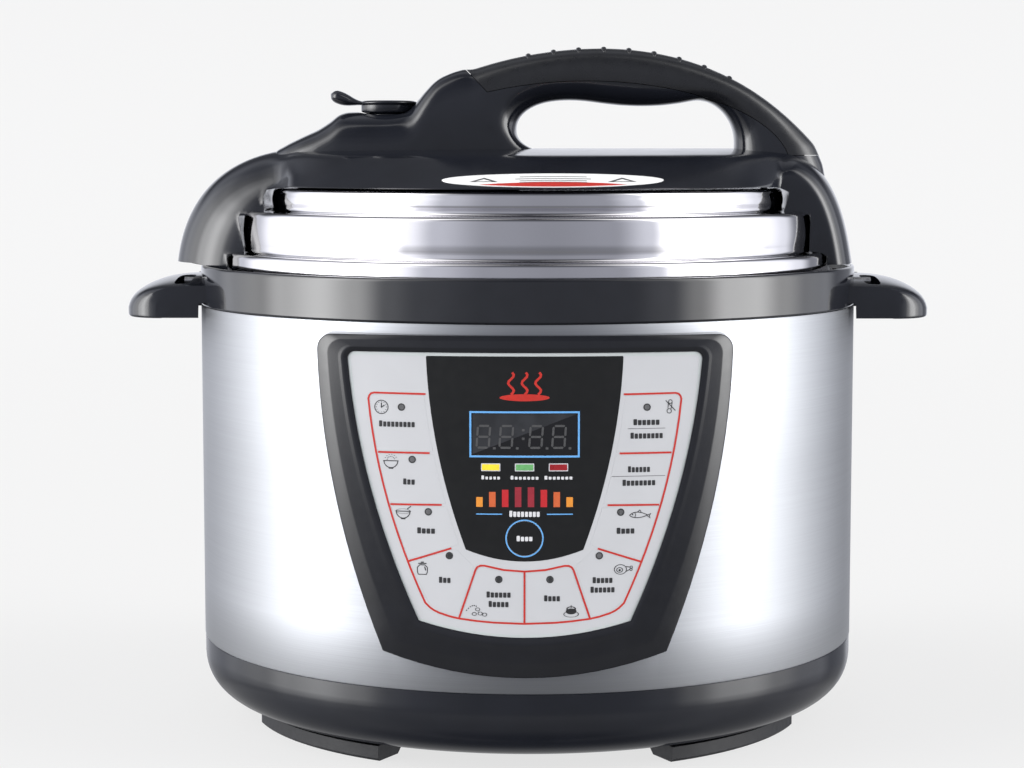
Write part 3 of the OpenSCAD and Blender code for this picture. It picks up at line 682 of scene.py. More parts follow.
def build_keys():
    """Film pads, each with its stem, icon, lamp dot and word blocks."""
    for side, names in ((-1, LEFT_KEYS), (1, RIGHT_KEYS)):
        for i, name in enumerate(names):
            shape = Shape()
            pad = grown(KEY_LINES[i], -WEB - 0.03)
            if side < 0:
                pad = mirrored(pad)
            sheet(shape, pad, [], 0, -1.6, "panel_film", on_face)
            stem(shape, side * KEY_STEMS[i][0], KEY_STEMS[i][1])
            prints(shape, KEY_PRINTS[name])
            shape.place("pad_" + name, "pad_" + name, "key_film", ["key_" + name])
    shape = Shape()
    sheet(shape, circle(0, 98, 6.72, 48), [], 0, -1.6, "panel_black", on_face)
    stem(shape, 0, 98)
    prints(shape, word(0, 97.8, 6.4, 1.7, "print_white"))
    shape.place("pad_taste", "pad_taste", "key_dark", ["key_taste"])


def stem(shape, x, z):
    """Round stem behind a key, down to its switch."""
    head = on_face(x, z, -1.2)[1]
    loft(shape, [[(px, y, pz) for px, pz in circle(x, z, r, 20)]
                 for r, y in ((2.0, head), (2.0, -135.5), (1.7, -135.1))], "panel_film")


def build_plate():
    """Bent face plate with its printed field, key lines, symbols and levels."""
    holes = [grown(k, -WEB) for k in KEY_LINES]
    holes += [mirrored(h) for h in holes]
    taste = circle(0, 98, 6.75, 48)
    window = [(-20.4, 130.1), (20.4, 130.1), (20.4, 146.4), (-20.4, 146.4)]
    shape = Shape()
    sheet(shape, plate_shield(0.1), holes + [taste, window], 0, -1.6, "panel_film", on_face)
    sheet(shape, plate_shield(0.15), [plate_shield(1.35)], 0.04, -0.3, "panel_border", on_face)
    black = shield(BLACK_SIDE, 93.5, 89, 0.8)
    sheet(shape, black, [circle(0, 98, 6.8, 48), grown(window, 0.02)], 0.03, -0.3, "panel_black", on_face)
    prints(shape, [(grown(window, 0.75), [grown(window, 0.04)], "print_blue"),
                   (circle(0, 98, 7.35, 48), [circle(0, 98, 6.85, 48)], "print_blue"),
                   line([(-18.6, 107.4), (-8.6, 107.4)], 0.42, "print_blue"),
                   line([(8.6, 107.4), (18.6, 107.4)], 0.42, "print_blue")])
    prints(shape, word(0, 107.4, 12.0, 2.0, "print_white"))
    for x, look in ((-13, "lamp_yellow"), (0, "lamp_green"), (13, "lamp_red")):
        prints(shape, [(rounded_box(x, 125.55, 7.4, 3.0, 0.2), [], "lamp_rim"),
                       (rounded_box(x, 125.55, 6.7, 2.3, 0.1), [], look)])
        sheet(shape, rounded_box(x, 125.55, 6.6, 2.3, 0.1), [], 0.12, -0.2, look, on_face)
        prints(shape, word(x, 121.4, 7.6 if x < 0 else 11.2, 1.1, "print_white", gap=0.5))
    for i in range(8):
        k = min(i, 7 - i)
        top = (114.0, 116.0, 116.9, 117.9)[k]
        look = ("level_1", "level_2", "level_3", "level_4")[k]
        x = (i - 3.5) * 4.95
        prints(shape, [([(x - 1.25, 110.2), (x + 1.25, 110.2), (x + 1.25, top), (x - 1.25, top)], [], look)])
    heights = [151.4 - (151.4 - 72.4) * i / 12 for i in range(13)]
    outline = [(38, 153.5), (58.0, 153.7), (59.2, 153.4), (59.9, 152.6)]
    outline += [(side_x(KEY_SIDE, z), z) for z in heights]
    outline += [(36.6, 70.6), (35, 69.5), (33.1, 68.6), (29, 67.3), (25.3, 66.5), (18, 65.6), (12, 65.1),
                (0, 64.7)]
    rules = [outline, [(56.6, 130.7), (36.5, 130.7)], [(51.9, 110.5), (31.9, 110.7)],
             [(44.8, 88.5), (28.2, 93.9)],
             [(25.3, 66.6), (18.9, 85.6), (18.2, 86.7), (17, 87.3), (15.4, 87.3), (8, 85.7), (0, 85.1)]]
    rule = 0.74
    for side in (-1, 1):
        for points in rules:
            prints(shape, [line(points, rule, "print_red")], side)
    prints(shape, [line([(0, 64.8), (0, 85.0)], rule, "print_red")])
    for k in (-1, 0, 1):
        wave = [(5.2 * k + 1.1 * sin(t * 0.9), 153.6 + t * 0.85) for t in range(0, 11)]
        prints(shape, [line(wave, 0.9, "print_red")])
    prints(shape, [(circle(0, 152.4, 9.6, 40, 0.14), [], "print_red")])
    shape.place("face_film", "body", "face_print", ["face_plate"])


def digit(cx, cz):
    """Seven bars of an unlit figure eight that leans a little."""
    w, h, t = 2.35, 4.2, 0.42
    lean = 0.07

    def bar(ax, az, bx, bz):
        d = hypot(bx - ax, bz - az)
        ux, uz = (bx - ax) / d, (bz - az) / d
        pts = [(0.25, 0), (0.25 + t, -t), (d - 0.25 - t, -t), (d - 0.25, 0), (d - 0.25 - t, t), (0.25 + t, t)]
        out = [(ax + u * ux - v * uz, az + u * uz + v * ux) for u, v in pts]
        return [(cx + x + lean * z, cz + z) for x, z in out]

    return [bar(-w, h, w, h), bar(-w, 0, w, 0), bar(-w, -h, w, -h), bar(-w, 0, -w, h), bar(w, 0, w, h),
            bar(-w, -h, -w, 0), bar(w, -h, w, 0)]


def build_display():
    """Dark pane with a painted sheen over half of it, a lighter triangle standing in for a reflection on the
    glass, four unlit digits, their points and a colon.
    """
    shape = Shape()
    pane = [(-20.3, 130.2), (20.3, 130.2), (20.3, 146.3), (-20.3, 146.3)]
    sheet(shape, pane, [], -0.15, -1.6, "display_glass", on_face)
    # painted reflection: a lighter triangle over half of the pane stands in for light reflected on the glass
    sheet(shape, [(-20.0, 130.6), (20.0, 146.1), (-20.0, 146.1)], [], -0.1, -0.3, "display_sheen", on_face)
    for cx in (-15.8, -7.0, 4.4, 13.2):
        for outline in digit(cx, 137.3):
            sheet(shape, outline, [], -0.05, -0.3, "digit_grey", on_face)
        sheet(shape, rounded_box(cx + 4.2, 132.9, 1.1, 0.9, 0.2), [], -0.05, -0.3, "digit_grey", on_face)
    for z in (139.9, 136.6):
        sheet(shape, rounded_box(-0.5, z, 1.1, 0.9, 0.2), [], -0.05, -0.3, "digit_grey", on_face)
    shape.place("display_pane", "body", "display_glass", ["display_window"])


# ---- Lid --------------------------------------------------------------------------------------

# heights of the cover's deck along its middle and at its rim
CREST, EDGE = 247.4, 231.1
VALVE_X, FLOAT_AT = -61.0, (-62.0, 36.0)
# the cover's line down each side, in x and height
LEFT_LEG = ((-154.4, 198), (-152.4, 214), (-144, 244.5), (-100, CREST))
RIGHT_LEG = ((100, CREST), (130.8, 250.4), (138.5, 223.5), (142.2, 198))
# half width of a leg, and how far the deck's edge stands over the lid
LEG_HALF, LIP = 35.0, 0.4
# where the deck breaks from its flat middle into its slope, and how far it has fallen there
BREAK, BREAK_FALL = 0.52, 0.18
# outline of the stepped lid under the cover
STEPS = [(-132.7, 197), (-132.7, 203.7), (-125.2, 203.7), (-125.2, 221.2), (-112.7, 221.2), (-112.7, EDGE),
         (112.7, EDGE), (112.7, 221.2), (125.2, 221.2), (125.2, 203.7), (132.7, 203.7), (132.7, 197)]


def deck_fall(v):
    """Share of the fall from the crest to the edge at a share v of the half width."""
    crown = BREAK_FALL * min(1.0, v / BREAK) ** 1.7
    slope = max(0.0, (v - BREAK) / (1 - BREAK))
    return crown + (1 - BREAK_FALL) * (hypot(slope, 0.05) - 0.05) / (hypot(1, 0.05) - 0.05)


def deck_half(x):
    """Half width of the deck, round at its middle and as wide as a leg at its ends."""
    wide = sqrt(max(0.0, 112.0 ** 2 - x * x))
    return (wide ** 6 + LEG_HALF ** 6) ** (1 / 6)


def deck_height(x, y):
    return CREST - (CREST - EDGE - LIP) * deck_fall(min(1.0, abs(y) / deck_half(x)))


def reach(p, d):
    """Distance from p along d to the steps that the cover sits over."""
    best = None
    for a, b in zip(STEPS, STEPS[1:]):
        ex, ez = b[0] - a[0], b[1] - a[1]
        det = d[0] * -ez + ex * d[1]
        if abs(det) < 1e-9:
            continue
        t = ((a[0] - p[0]) * -ez + ex * (a[1] - p[1])) / det
        u = (d[0] * (a[1] - p[1]) - d[1] * (a[0] - p[0])) / det
        if t > 0 and -1e-6 <= u <= 1 + 1e-6 and (best is None or t < best):
            best = t
    return best


def bores(valve_r, top, look, turns):
    """Drills for the holes of the valve and the float."""
    drill = Shape()
    for at, r in (((VALVE_X, 0), valve_r), (FLOAT_AT, 4.0)):
        lathe(drill, [(0, 215), (r, 215), (r, top), (0, top)], look, turns, at)
    return drill


def build_cover():
    """Cover with a domed deck over the lid and a rounded leg down each side."""
    path = bezier(LEFT_LEG, 40) + [(x, CREST) for x in range(-95, 100, 5)] + bezier(RIGHT_LEG, 40)
    sections = []
    depth = 19.7
    for i, (x, z) in enumerate(path):
        a, b = path[max(i - 1, 0)], path[min(i + 1, len(path) - 1)]
        tx, tz = b[0] - a[0], b[1] - a[1]
        length = hypot(tx, tz)
        d = (tz / length, -tx / length)
        if i in (0, len(path) - 1):
            d = (copysign(1, -x), 0)
        depth = reach((x, z), d) or depth
        leg = smooth_step((abs(x) - 96) / 22)
        half = deck_half(x) if abs(x) < 112 else LEG_HALF
        lip = LIP * (1 - leg)
        edge = (x + d[0] * depth, z + d[1] * depth)

        def hug(y):
            """How much further in the round lid lies at this y, along d."""
            return (abs(edge[0]) - sqrt(edge[0] ** 2 - y * y)) * abs(d[0]) * leg if leg > 0 else 0.0

        crown, power = (32.0, 1.8) if x < 0 else (11.5, 2.0)
        ring = []
        steps = 30
        for k in range(-steps, steps + 1):
            v = k / steps
            s = copysign(1 - (1 - abs(v)) ** 1.6, v)
            deck = (CREST - EDGE - lip) * deck_fall(abs(s))
            side = min(crown * (1 - (1 - abs(s) ** power) ** (1 / power)), depth + hug(s * half))
            fall = deck * (1 - leg) + side * leg
            ring.append((x + d[0] * fall, s * half, z + d[1] * fall))
        for y in (half - 0.2, half * 0.5, 0, -half * 0.5, -half + 0.2):
            inner = depth + hug(y)
            ring.append((x + d[0] * inner, y, z + d[1] * inner))
        sections.append(ring)
    shape = Shape()
    loft(shape, sections, "black_gloss")
    cover = shape.make("cover", sharp=38)
    carve(cover, bores(9.0, 260, "black_gloss", 48), 38)
    settle(cover, "lid", ["lid_cover"])


# lines of the handle in x and height: its top, the hole under it and the soft grip's lower edge
HANDLE_TOP = bezier(((125.6, 249), (100, 278), (68, 290.9), (31.8, 290.9)), 24) + \
    bezier(((31.8, 290.9), (0, 290.9), (-28, 281.5), (-40, 275)), 16)[1:]
HANDLE_HOLE = bezier(((90.5, CREST - 1), (92.5, 258), (84, 268.6), (74, 268.4)), 12) + \
    bezier(((74, 268.4), (60, 265), (45, 265), (30, 267.3)), 10)[1:] + \
    bezier(((30, 267.3), (10, 270.5), (-5, 266), (-5, 255)), 12)[1:] + [(-3, CREST - 1)]
GRIP_SEAM = bezier(((112.9, 244.5), (104, 269), (40, 285), (-17.2, 271.7)), 24)


def handle_solid():
    """Arched handle and its humped root at the valve, melted into one, with a bore for the valve."""
    shape = Shape()
    count = 44
    outer, inner = resampled(HANDLE_TOP, count), resampled(HANDLE_HOLE, count)
    outer = [(131, 232), (129.4, 240.5)] + outer
    inner = [(92, 236), (90.5, 243)] + inner
    profile = superellipse(36, 2.7)
    sections = []
    for i, (o, h) in enumerate(zip(outer, inner)):
        t = i / (len(outer) - 1)
        half = 16.6 + 2.6 * smooth_step((t - 0.8) / 0.2) + 2.2 * smooth_step((0.12 - t) / 0.12)
        cx, cz = (o[0] + h[0]) / 2, (o[1] + h[1]) / 2
        ux, uz = (o[0] - h[0]) / 2, (o[1] - h[1]) / 2
        sections.append([(cx + ux * a, b * half, cz + uz * a) for a, b in profile])
    loft(shape, sections, "black_gloss")
    # place along the lid, height and half width of the root
    stations = [(-111, 246.4, 9), (-108, 247.6, 13), (-104.5, 249.6, 16.5), (-98.3, 252.6, 20.5),
                (-91.5, 255.6, 23), (-86, 259.2, 24), (-82.5, 262.2, 24.4), (-79.5, 263.2, 24.6),
                (-73, 263.4, 25), (-62, 263.4, 25), (-52, 264.0, 24.6), (-49, 267.0, 24), (-45, 271.8, 23),
                (-41, 276.0, 22), (-38, 278.2, 21.4), (-33, 280.4, 20.8), (-28, 281.9, 20.2),
                (-23, 281.6, 19.6), (-18, 278, 19), (-13, 270, 18.2), (-9, 262, 17.6), (-6, 255, 17),
                (-3, 250.4, 16.6), (0.5, 248, 16), (5, 246.4, 15)]
    hump = []
    for x, top, half in stations:
        profile = superellipse(36, 2.5 + 1.3 * smooth_step((x + 52) / 12))
        foot = 25 - 9 * smooth_step((x + 52) / 60)
        flare = max(0.0, foot - half)
        hump.append([(x, b * (half + flare * max(0.0, -a)), 241 + (top - 241) * a) for a, b in profile])
    root = Shape()
    loft(root, hump, "black_gloss")
    handle = shape.make("handle_body")
    cut(handle, root.make("root"), "UNION")
    with_modifiers(handle, ("REMESH", {"mode": "VOXEL", "voxel_size": 0.0011}),
                   ("SMOOTH", {"factor": 0.5, "iterations": 20}))
    valve = Shape()
    lathe(valve, [(0, 230), (9, 230), (9, 261.0), (13.8, 262.6), (13.8, 285), (0, 285)], "black_gloss", 48,
          (VALVE_X, 0))
    cut(handle, valve.make("bore"))
    return handle


def grip_ridges():
    """Low bars across the soft grip."""
    bars, bar = Shape(), circle(0, 0, 1, 12)
    for k in range(9):
        x = 11.0 * k + 0.3
        i = min(range(len(HANDLE_TOP)), key=lambda j: abs(HANDLE_TOP[j][0] - x))
        a, b = HANDLE_TOP[max(i - 1, 0)], HANDLE_TOP[min(i + 1, len(HANDLE_TOP) - 1)]
        z = a[1] + (b[1] - a[1]) * (x - a[0]) / (b[0] - a[0])
        length = dist(a, b)
        tx, tz = (a[0] - b[0]) / length, (a[1] - b[1]) / length
        nx, nz = (-tz, tx) if tx >= 0 else (tz, -tx)
        rings = []
        for m in range(-9, 10):
            v = m / 9
            y = 11.5 * v
            drop = 11.9 * (1 - (1 - (abs(y) / 16.6) ** 2.7) ** (1 / 2.7)) + 0.15
            size = max(0.05, 1 - abs(v) ** 4) ** 0.5
            places = [(1.25 * size * c, size * s - drop) for c, s in bar]
            rings.append([(x + along * tx + up * nx, y, z + along * tz + up * nz) for along, up in places])
        loft(bars, rings, "grip_plastic")
    return bars.make("handle_grip_ridges", sharp=60)


def block(name, points, half):
    """A solid with this outline in x and height, reaching this far to each side."""
    solid = Shape()
    prism(solid, points, -half, half, "seam_black")
    return solid.make(name)


def build_handle():
    """The handle, with the soft grip let into its top, its ridges and the seam round it."""
    handle = handle_solid()
    region = [(127, 244.5), (125, 300), (-24, 300), (-27.4, 282.4)] + GRIP_SEAM[::-1]
    grip = handle.copy()
    grip.name = "handle_soft_grip"
    grip.data = handle.data.copy()
    show(grip)
    cut(grip, block("clip", region, 40), "INTERSECT")
    cut(handle, block("recess", grown(region, 0.25), 40))
    grip.data.materials.clear()
    grip.data.materials.append(M["grip_plastic"])
    ridges = grip_ridges()
    seam = block("handle_seam", stroke([(120.5, 244.5)] + GRIP_SEAM + [(-24.6, 279.4)], 1.4), 11)
    for obj in (handle, grip):
        obj.data.shade_smooth()
        obj.data.set_sharp_from_angle(angle=radians(38))
    settle(handle, "lid", ["lid_handle"])
    settle(grip, "lid", ["handle_grip"])
    settle(ridges, "lid")
    settle(seam, "lid")


def build_knob():
    """Round steam release knob with a thumb lever like a small spoon."""
    shape = Shape()
    cap = [(8.1, 259.2), (8.6, 259.0), (8.6, 262.2), (11.2, 263.1), (11.8, 263.3), (12.0, 263.8)]
    cap += [(12.0, 266.2), (12.3, 266.5)] + arc(12.3, 267.2, 0.5, -60, 60, 5)
    cap += [(12.0, 267.8), (11.4, 268.1), (9.6, 268.2), (9.2, 267.8), (8.6, 267.7), (0, 267.7), (0, 264.8),
            (8.1, 264.8)]
    lathe(shape, cap, "black_gloss", 64, (VALVE_X, 0))
    spine = bezier(((-9.5, 266.9), (-15, 267.2), (-20.5, 268.8), (-25.2, 271.2)), 14)
    sections = []
    ring = superellipse(20, 2.3)
    for i, (x, z) in enumerate(spine):
        t = i / 14
        a, b = spine[max(i - 1, 0)], spine[min(i + 1, 14)]
        length = dist(a, b)
        n = (-(b[1] - a[1]) / length, (b[0] - a[0]) / length)
        n = (-n[0], -n[1]) if n[1] < 0 else n
        half = 5.6 + 2.0 * smooth_step(t * 1.3)
        thick = 0.9 + 1.95 * smooth_step((t - 0.1) / 0.6)
        end = sqrt(max(0.02, 1 - max(0.0, (t - 0.78) / 0.22) ** 2))
        sections.append([(VALVE_X + x + n[0] * thick * end * u, half * end * v, z + n[1] * thick * end * u)
                         for u, v in ring])
    loft(shape, sections, "black_gloss")
    shape.place("release_lever", "knob", "black_gloss", ["release_knob"], sharp=40)


def build_label():
    """Blank oval sticker on the front of the cover with a red lower edge and plain marks."""
    cx, rx = 11.0, 44.6

    def on_deck(x, y, height):
        return x, y, deck_height(x, y) + height

    def scaled(loop):
        out = []
        for u, v in loop:
            share = 0.894 - 0.0905 * v
            out.append((cx + rx * u, -share * deck_half(cx + rx * u)))
        return out

    unit = circle(0, 0, 1, 72)
    shape = Shape()
    sheet(shape, scaled(unit), [], 0.16, -0.5, "label_white", on_deck, 3.0)
    chord = sorted(p for p in circle(0, 0, 0.93, 72) if p[1] < -0.62)
    marks = [(scaled(chord), "print_red")]
    for half, low, high in ((0.30, 0.44, 0.52), (0.34, 0.12, 0.2), (0.3, -0.14, -0.06), (0.3, -0.38, -0.3)):
        marks.append((scaled([(-half, high), (-half, low), (half, low), (half, high)]), "lamp_grey"))
    for x in (-0.62, 0.62):
        for half, low, high, look in ((0.13, -0.28, 0.34, "print_dark"), (0.07, -0.2, 0.12, "label_white")):
            marks.append((scaled([(x - half, low), (x + half, low), (x, high)]), look))
    for loop, look in marks:
        area = sum(a[0] * b[1] - b[0] * a[1] for a, b in zip(loop, loop[1:] + loop[:1]))
        loop = loop if area > 0 else loop[::-1]
        sheet(shape, loop, [], 0.2 + (0.04 if look == "label_white" else 0), 0.0, look, on_deck, 3.0)
    shape.place("cover_sticker", "lid", "label_film", ["safety_label"])


def build_lid_shell():
    """Three pressed steps in polished sheet, with the lugs that lock under those of the pot."""
    r, z, w = (131.5, 124, 111.5), (203, 220.5, 230.4), 1.2

    def contour(d, n):
        """The stepped line, d inside the outer face."""
        out = [(r[0] - d, 190.0), (r[0] - d, 192.0)]
        for k in range(3):
            out += arc(r[k] - 2.4, z[k] - 2.4, 2.4 - d, 0, 90, n)
            if k == 2:
                break
            low, high = z[k] + 2, z[k + 1] - 2.4
            out += arc(r[k + 1] + 2, low, 2 + d, -90, -180, n)
            for t in range(1, 7):
                bow = 0.45 * (1 - (2 * t / 7 - 1) ** 2)
                out.append((r[k + 1] - d + bow, low + (high - low) * t / 7))
        return out + [(90, z[2] - d), (40, z[2] - d), (0, z[2] - d)]

    shape = Shape()
    lathe(shape, contour(0, 9) + contour(w, 5)[::-1], "polished_steel", 256)
    for k in range(6):
        start = radians(30 + 60 * k - 12)
        rings = []
        for m in range(13):
            a = start + radians(24) * m / 12
            rings.append([(q * cos(a), q * sin(a), h) for q, h in
                          ((124.6, 191.4), (131.1, 191.4), (131.1, 194.2), (124.6, 194.2))])
        loft(shape, rings, "polished_steel")
    shell = shape.make("steel_lid", sharp=50)
    carve(shell, bores(6.0, 240, "polished_steel", 40), 50)
    settle(shell, "lid", ["lid_shell"])


# ---- Body -------------------------------------------------------------------------------------

def build_side_handles():
    """Side handles: crowned top, upright skirt, two slots by the ring and a pocket underneath."""
    floor_z, crease, thick = 175.4, 183.4, 2.4
    middle = bezier(((0.0, 192.6), (0.45, 192.9), (0.92, 189.8), (1.0, 178.3)), 16)
    front = bezier(((0.0, 189.1), (0.5, 189.1), (0.985, 189.0), (1.0, 180.4)), 16)
    edge = [(1.0, 177.2), (1.0, 176.4), (0.996, 175.8), (0.984, floor_z)]
    for side, name in ((-1, "left"), (1, "right")):
        sections = []
        for i in range(49):
            y = 42.3 * sin((i / 24 - 1) * pi / 2)
            inner = sqrt(BODY_R ** 2 - y * y) - 0.4
            outer = 150 + 24.2 * max(0.0, 1 - abs(y / 42.8) ** 3) ** (1 / 3)
            near = (abs(y) / 41) ** 2
            chamfer = max(0.0, (abs(y) - 41) / 1.3)
            hollow = smooth_step((38.5 - abs(y)) / 2.0)
            ring = []
            for (s, z), (fs, fz) in zip(middle, front):
                h = z + (fz - z) * min(1.0, near)
                ring.append((inner + (outer - inner) * (s + (fs - s) * min(1.0, near)),
                             h - max(0.0, h - crease + 2 * s) * chamfer))
            ring += [(inner + (outer - inner) * s, z) for s, z in edge]
            roof = floor_z + 0.1
            ring += [(outer - thick, floor_z), (outer - thick, roof + 8.5 * hollow),
                     (outer - 7.0, roof + 11.0 * hollow), (inner + 3.6, roof + 11.6 * hollow),
                     (inner + 3.4, 181.8 + 5.2 * hollow), (inner, 181.9 + 5.2 * hollow)]
            sections.append([(side * x, side * y, z) for x, z in ring])
        shape = Shape()
        loft(shape, sections, "black_gloss")
        handle = shape.make("carry_handle_" + name, sharp=30)
        slots = Shape()
        for sy in (-1, 1):
            rim = superellipse(28, 4)
            loft(slots, [[(side * (148.0 + 3.6 * u), sy * 23 + 13 * v, z) for u, v in rim]
                         for z in (188.2, 197.0)], "black_gloss")
        carve(handle, slots, 30)
        settle(handle, "body", ["side_handle_" + name])


def build_ring():
    """Black ring over the steel body, with a rolled lip and a fine groove where it meets the steel."""
    shape = Shape()
    outline = [(143, 180.6), (143, 181.0), (143, 194.9), (143, 195.4)]
    outline += arc(141.6, 195.9, 1.4, 0, 180, 10)[1:]
    outline += [(140.2, 187.2), (139.6, 186.2), (138.6, 186), (114.4, 186), (114.4, 183.5), (140.4, 183.5),
                (140.4, 172), (142, 172), (142, 180), (142.6, 180.2)]
    lathe(shape, outline, "ring_gloss", 256)
    shape.place("body_ring", "body", "black_gloss", ["upper_ring"], sharp=45)


def build_base():
    """Moulded base under the steel, with vent slots in its floor."""
    outer = [(142.6, 35.8), (142.8, 35.6), (142.8, 30)]
    outer += bezier(((142.8, 28), (142.4, 17.4), (136, 9.6), (120, 6.6)), 14)
    outer += bezier(((119, 6.5), (110, 5.5), (100, 5.4), (60, 5.4)), 5) + [(0, 5.4)]
    inner = [(0, 8.7), (100, 8.7), (118, 10)]
    inner += bezier(((122, 10.6), (134, 13), (139.4, 20), (139.8, 30)), 8)
    inner += [(139.8, 41.8), (141.8, 41.8), (141.8, 35.8)]
    shape = Shape()
    lathe(shape, outer + inner, "black_gloss", 256)
    base = shape.make("base_shell", sharp=40)
    vents = Shape()
    for near in (38, 55, 72):
        corners = [(near, -1.25), (near + 12, -1.25), (near + 12, 1.25), (near, 1.25)]
        for a in range(0, 360, 20):
            c, s = cos(radians(a)), sin(radians(a))
            loft(vents, [[(r * c - w * s, r * s + w * c, z) for r, w in corners] for z in (3, 12)],
                 "black_gloss")
    carve(base, vents, 40)
    settle(base, "body", ["base_tray"])


def build_housing():
    """Brushed steel wall, edges rolled in, with openings for the panel and the mains inlet."""
    shape = Shape()
    lathe(shape, [(142.2, 35.9), (142.6, 35.9), (143, 36.4), (143, 60), (143, 120), (143, 179.3),
                  (142.7, 179.9), (142.2, 179.9)], "brushed_steel", 256)
    wall = shape.make("steel_wall", sharp=40)
    openings = Shape()
    prism(openings, grown(frame_shield(), -4), -160, -60, "brushed_steel")
    prism(openings, [(-17.3, 45.2), (17.3, 45.2), (17.3, 70.8), (-17.3, 70.8)], 100, 160, "brushed_steel")
    carve(wall, openings, 40)
    settle(wall, "body", ["outer_housing"])


# ---- The finishes and the scene ---------------------------------------------------------------

# for each finish its colour, its roughness and whatever else surface takes
FINISHES = {
    "black_gloss": ((0.0088, 0.0098, 0.0138), 0.12, dict(
        rough_change=0.025, rough_size=14, bump=0.006, bump_size=5, mottle_size=20, IOR=1.5)),
    "ring_gloss": ((0.0080, 0.0086, 0.0115), 0.07, dict(
        rough_change=0.02, rough_size=18, bump=0.006, bump_size=9, IOR=1.55)),
    "frame_gloss": ((0.007, 0.0075, 0.010), 0.2, dict(rough_change=0.03, bump=0.008, bump_size=0.8, IOR=1.5)),
    "seam_black": ((0.003, 0.003, 0.004), 0.6, dict(bump=0.02, bump_size=0.8, Specular_IOR_Level=0.2)),
    "black_plastic": ((0.010, 0.0105, 0.013), 0.32, dict(bump=0.03, bump_size=0.6)),
    "grip_plastic": ((0.0085, 0.009, 0.011), 0.3, dict(rough_change=0.05, bump=0.02, bump_size=0.5)),
    "foot_rubber": ((0.012, 0.0125, 0.015), 0.45, dict(bump=0.05, bump_size=0.7, Specular_IOR_Level=0.25)),
    "brushed_steel": ((0.345, 0.355, 0.378), 0.5, dict(
        metal=1.0, mottle=0.04, mottle_size=90, rough_change=0.05, rough_size=50, bump=0.003, bump_size=70,
        stretch=(1, 1, 420), Anisotropic=0.5, Anisotropic_Rotation=0.25)),
    "polished_steel": ((0.64, 0.63, 0.655), 0.07, dict(
        metal=1.0, mottle=0.02, mottle_size=40, rough_change=0.025, rough_size=12, bump=0.06, bump_size=24)),
    "screw_steel": ((0.45, 0.45, 0.46), 0.32, dict(metal=1.0, mottle=0.15, mottle_size=1.5)),
    "aluminium": ((0.62, 0.63, 0.65), 0.3, dict(
        metal=1.0, mottle=0.05, rough_size=5, bump=0.01, bump_size=0.8, stretch=(1, 1, 30))),
    "cast_aluminium": ((0.5, 0.51, 0.53), 0.45, dict(metal=1.0, mottle=0.12, bump=0.08, bump_size=1.2)),
    "pot_metal": ((0.52, 0.53, 0.55), 0.26, dict(
        metal=1.0, mottle=0.06, mottle_size=30, bump=0.006, bump_size=40, stretch=(1, 1, 120))),
    "heater_sheath": ((0.09, 0.075, 0.065), 0.5, dict(metal=0.8, mottle=0.3, bump=0.04)),
    "brass": ((0.55, 0.42, 0.2), 0.28, dict(metal=1.0, mottle=0.12, mottle_size=3)),
    "silicone": ((0.62, 0.61, 0.57), 0.5, dict(mottle=0.04, bump=0.02, Subsurface_Weight=0.15)),
    "board": ((0.015, 0.10, 0.04), 0.35, dict(mottle=0.3, mottle_size=2.5, bump=0.05, bump_size=1.6)),
    "cream_plastic": ((0.55, 0.5, 0.4), 0.42, dict(mottle=0.06, bump=0.02)),
    "relay_plastic": ((0.03, 0.06, 0.25), 0.35, dict(mottle=0.1)),
    "led_resin": ((0.7, 0.5, 0.2), 0.2, dict(mottle=0.15, mottle_size=2)),
    "float_red": ((0.42, 0.03, 0.02), 0.35, dict(mottle=0.08)),
    "clear": ((0.62, 0.68, 0.72), 0.12, dict(mottle=0.03, bump=0.004, bump_size=6, Alpha=0.55)),
    "panel_film": ((0.485, 0.49, 0.508), 0.42, dict(
        mottle=0.012, mottle_size=14, rough_change=0.04, bump=0.004, bump_size=0.5)),
    "panel_border": ((0.47, 0.50, 0.50), 0.4, dict(mottle=0.02, bump=0.004)),
    "panel_black": ((0.0085, 0.0088, 0.0094), 0.38, dict(
        mottle=0.05, bump=0.004, bump_size=0.5, Specular_IOR_Level=0.26)),
    "display_glass": ((0.005, 0.005, 0.006), 0.1, dict(
        mottle=0.1, rough_change=0.03, bump=0.003, bump_size=6)),
    "label_white": ((0.80, 0.80, 0.79), 0.4, dict(mottle=0.02, mottle_size=5, bump=0.01, bump_size=1.5)),
}
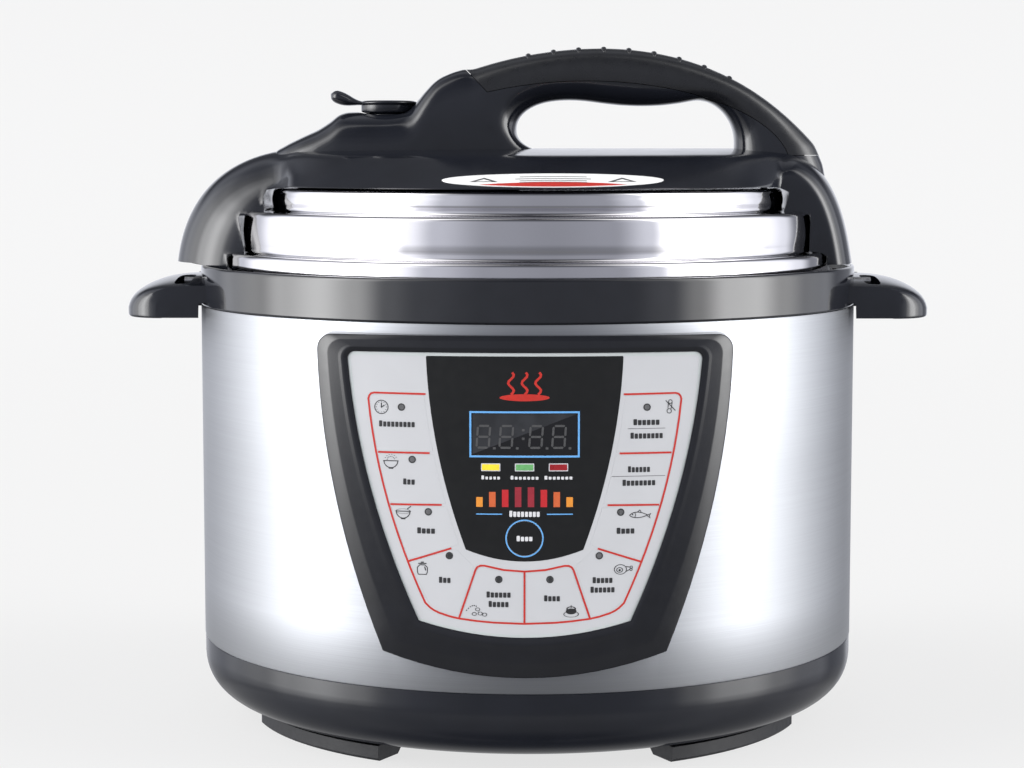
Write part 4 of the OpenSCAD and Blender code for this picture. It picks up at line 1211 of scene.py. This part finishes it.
# for each ink its colour, its roughness, and how much and how finely it is mottled
INKS = {
    "print_dark": ((0.022, 0.022, 0.024), 0.45, 0.15, 1.5),
    "print_red": ((0.46, 0.020, 0.012), 0.42, 0.06, 2),
    "print_blue": ((0.12, 0.36, 0.72), 0.42, 0.05, 2),
    "print_white": ((0.62, 0.62, 0.64), 0.42, 0.05, 1),
    "lamp_grey": ((0.105, 0.105, 0.11), 0.35, 0.1, 1),
    "lamp_rim": ((0.55, 0.55, 0.58), 0.35, 0.05, 1),
    "lamp_yellow": ((0.85, 0.66, 0.035), 0.3, 0.06, 3),
    "lamp_green": ((0.13, 0.37, 0.13), 0.3, 0.08, 3),
    "lamp_red": ((0.27, 0.009, 0.014), 0.3, 0.08, 3),
    "level_1": ((0.68, 0.25, 0.03), 0.38, 0.05, 2),
    "level_2": ((0.53, 0.105, 0.03), 0.38, 0.05, 2),
    "level_3": ((0.46, 0.014, 0.02), 0.38, 0.05, 2),
    "level_4": ((0.27, 0.017, 0.03), 0.38, 0.05, 2),
    # painted sheen: the display's reflection given as a lighter colour, not an ink
    "display_sheen": ((0.022, 0.023, 0.026), 0.16, 0.25, 9),
    "digit_grey": ((0.062, 0.062, 0.064), 0.35, 0.08, 1),
}
M = {name: surface(name, colour, rough, **more) for name, (colour, rough, more) in FINISHES.items()}
for name, (colour, rough, mottle, size) in INKS.items():
    M[name] = surface(name, colour, rough, mottle=mottle, mottle_size=size, bump=0.003)

CAD_LOOKS = {
    "black_plastic": "power_inlet cup_bracket display_module tact_switches",
    "foot_rubber": "feet",
    "polished_steel": "valve_weight valve_tube seal_rack filter_cap",
    "screw_steel": "base_screws side_handle_screws panel_screws lid_screws spring_plate sensor_spring",
    "aluminium": "outer_pot sensor_cap",
    "cast_aluminium": "heating_plate",
    "pot_metal": "inner_pot",
    "heater_sheath": "heating_element",
    "brass": "inlet_pins",
    "silicone": "sealing_ring float_seal",
    "board": "power_board control_board",
    "cream_plastic": "pressure_switch thermal_fuse",
    "relay_plastic": "power_relay",
    "led_resin": "indicator_leds",
    "float_red": "float_pin",
    "clear": "condensation_cup",
}


def dress_cad():
    """Finishes on the CAD nodes that are shown as they are."""
    chosen = {n: look for look, names in CAD_LOOKS.items() for n in names.split()}
    for n, obj in nodes.items():
        obj.data.materials.clear()
        obj.data.materials.append(M[chosen.get(n, "black_gloss")])


make_camera()
make_world()
make_stage()
build_frame()
build_plate()
build_keys()
build_display()
build_cover()
build_handle()
build_knob()
build_label()
build_lid_shell()
build_side_handles()
build_ring()
build_base()
build_housing()
dress_cad()

scene = bpy.context.scene
scene.view_settings.view_transform = "Standard"
scene.cycles.max_bounces = 8
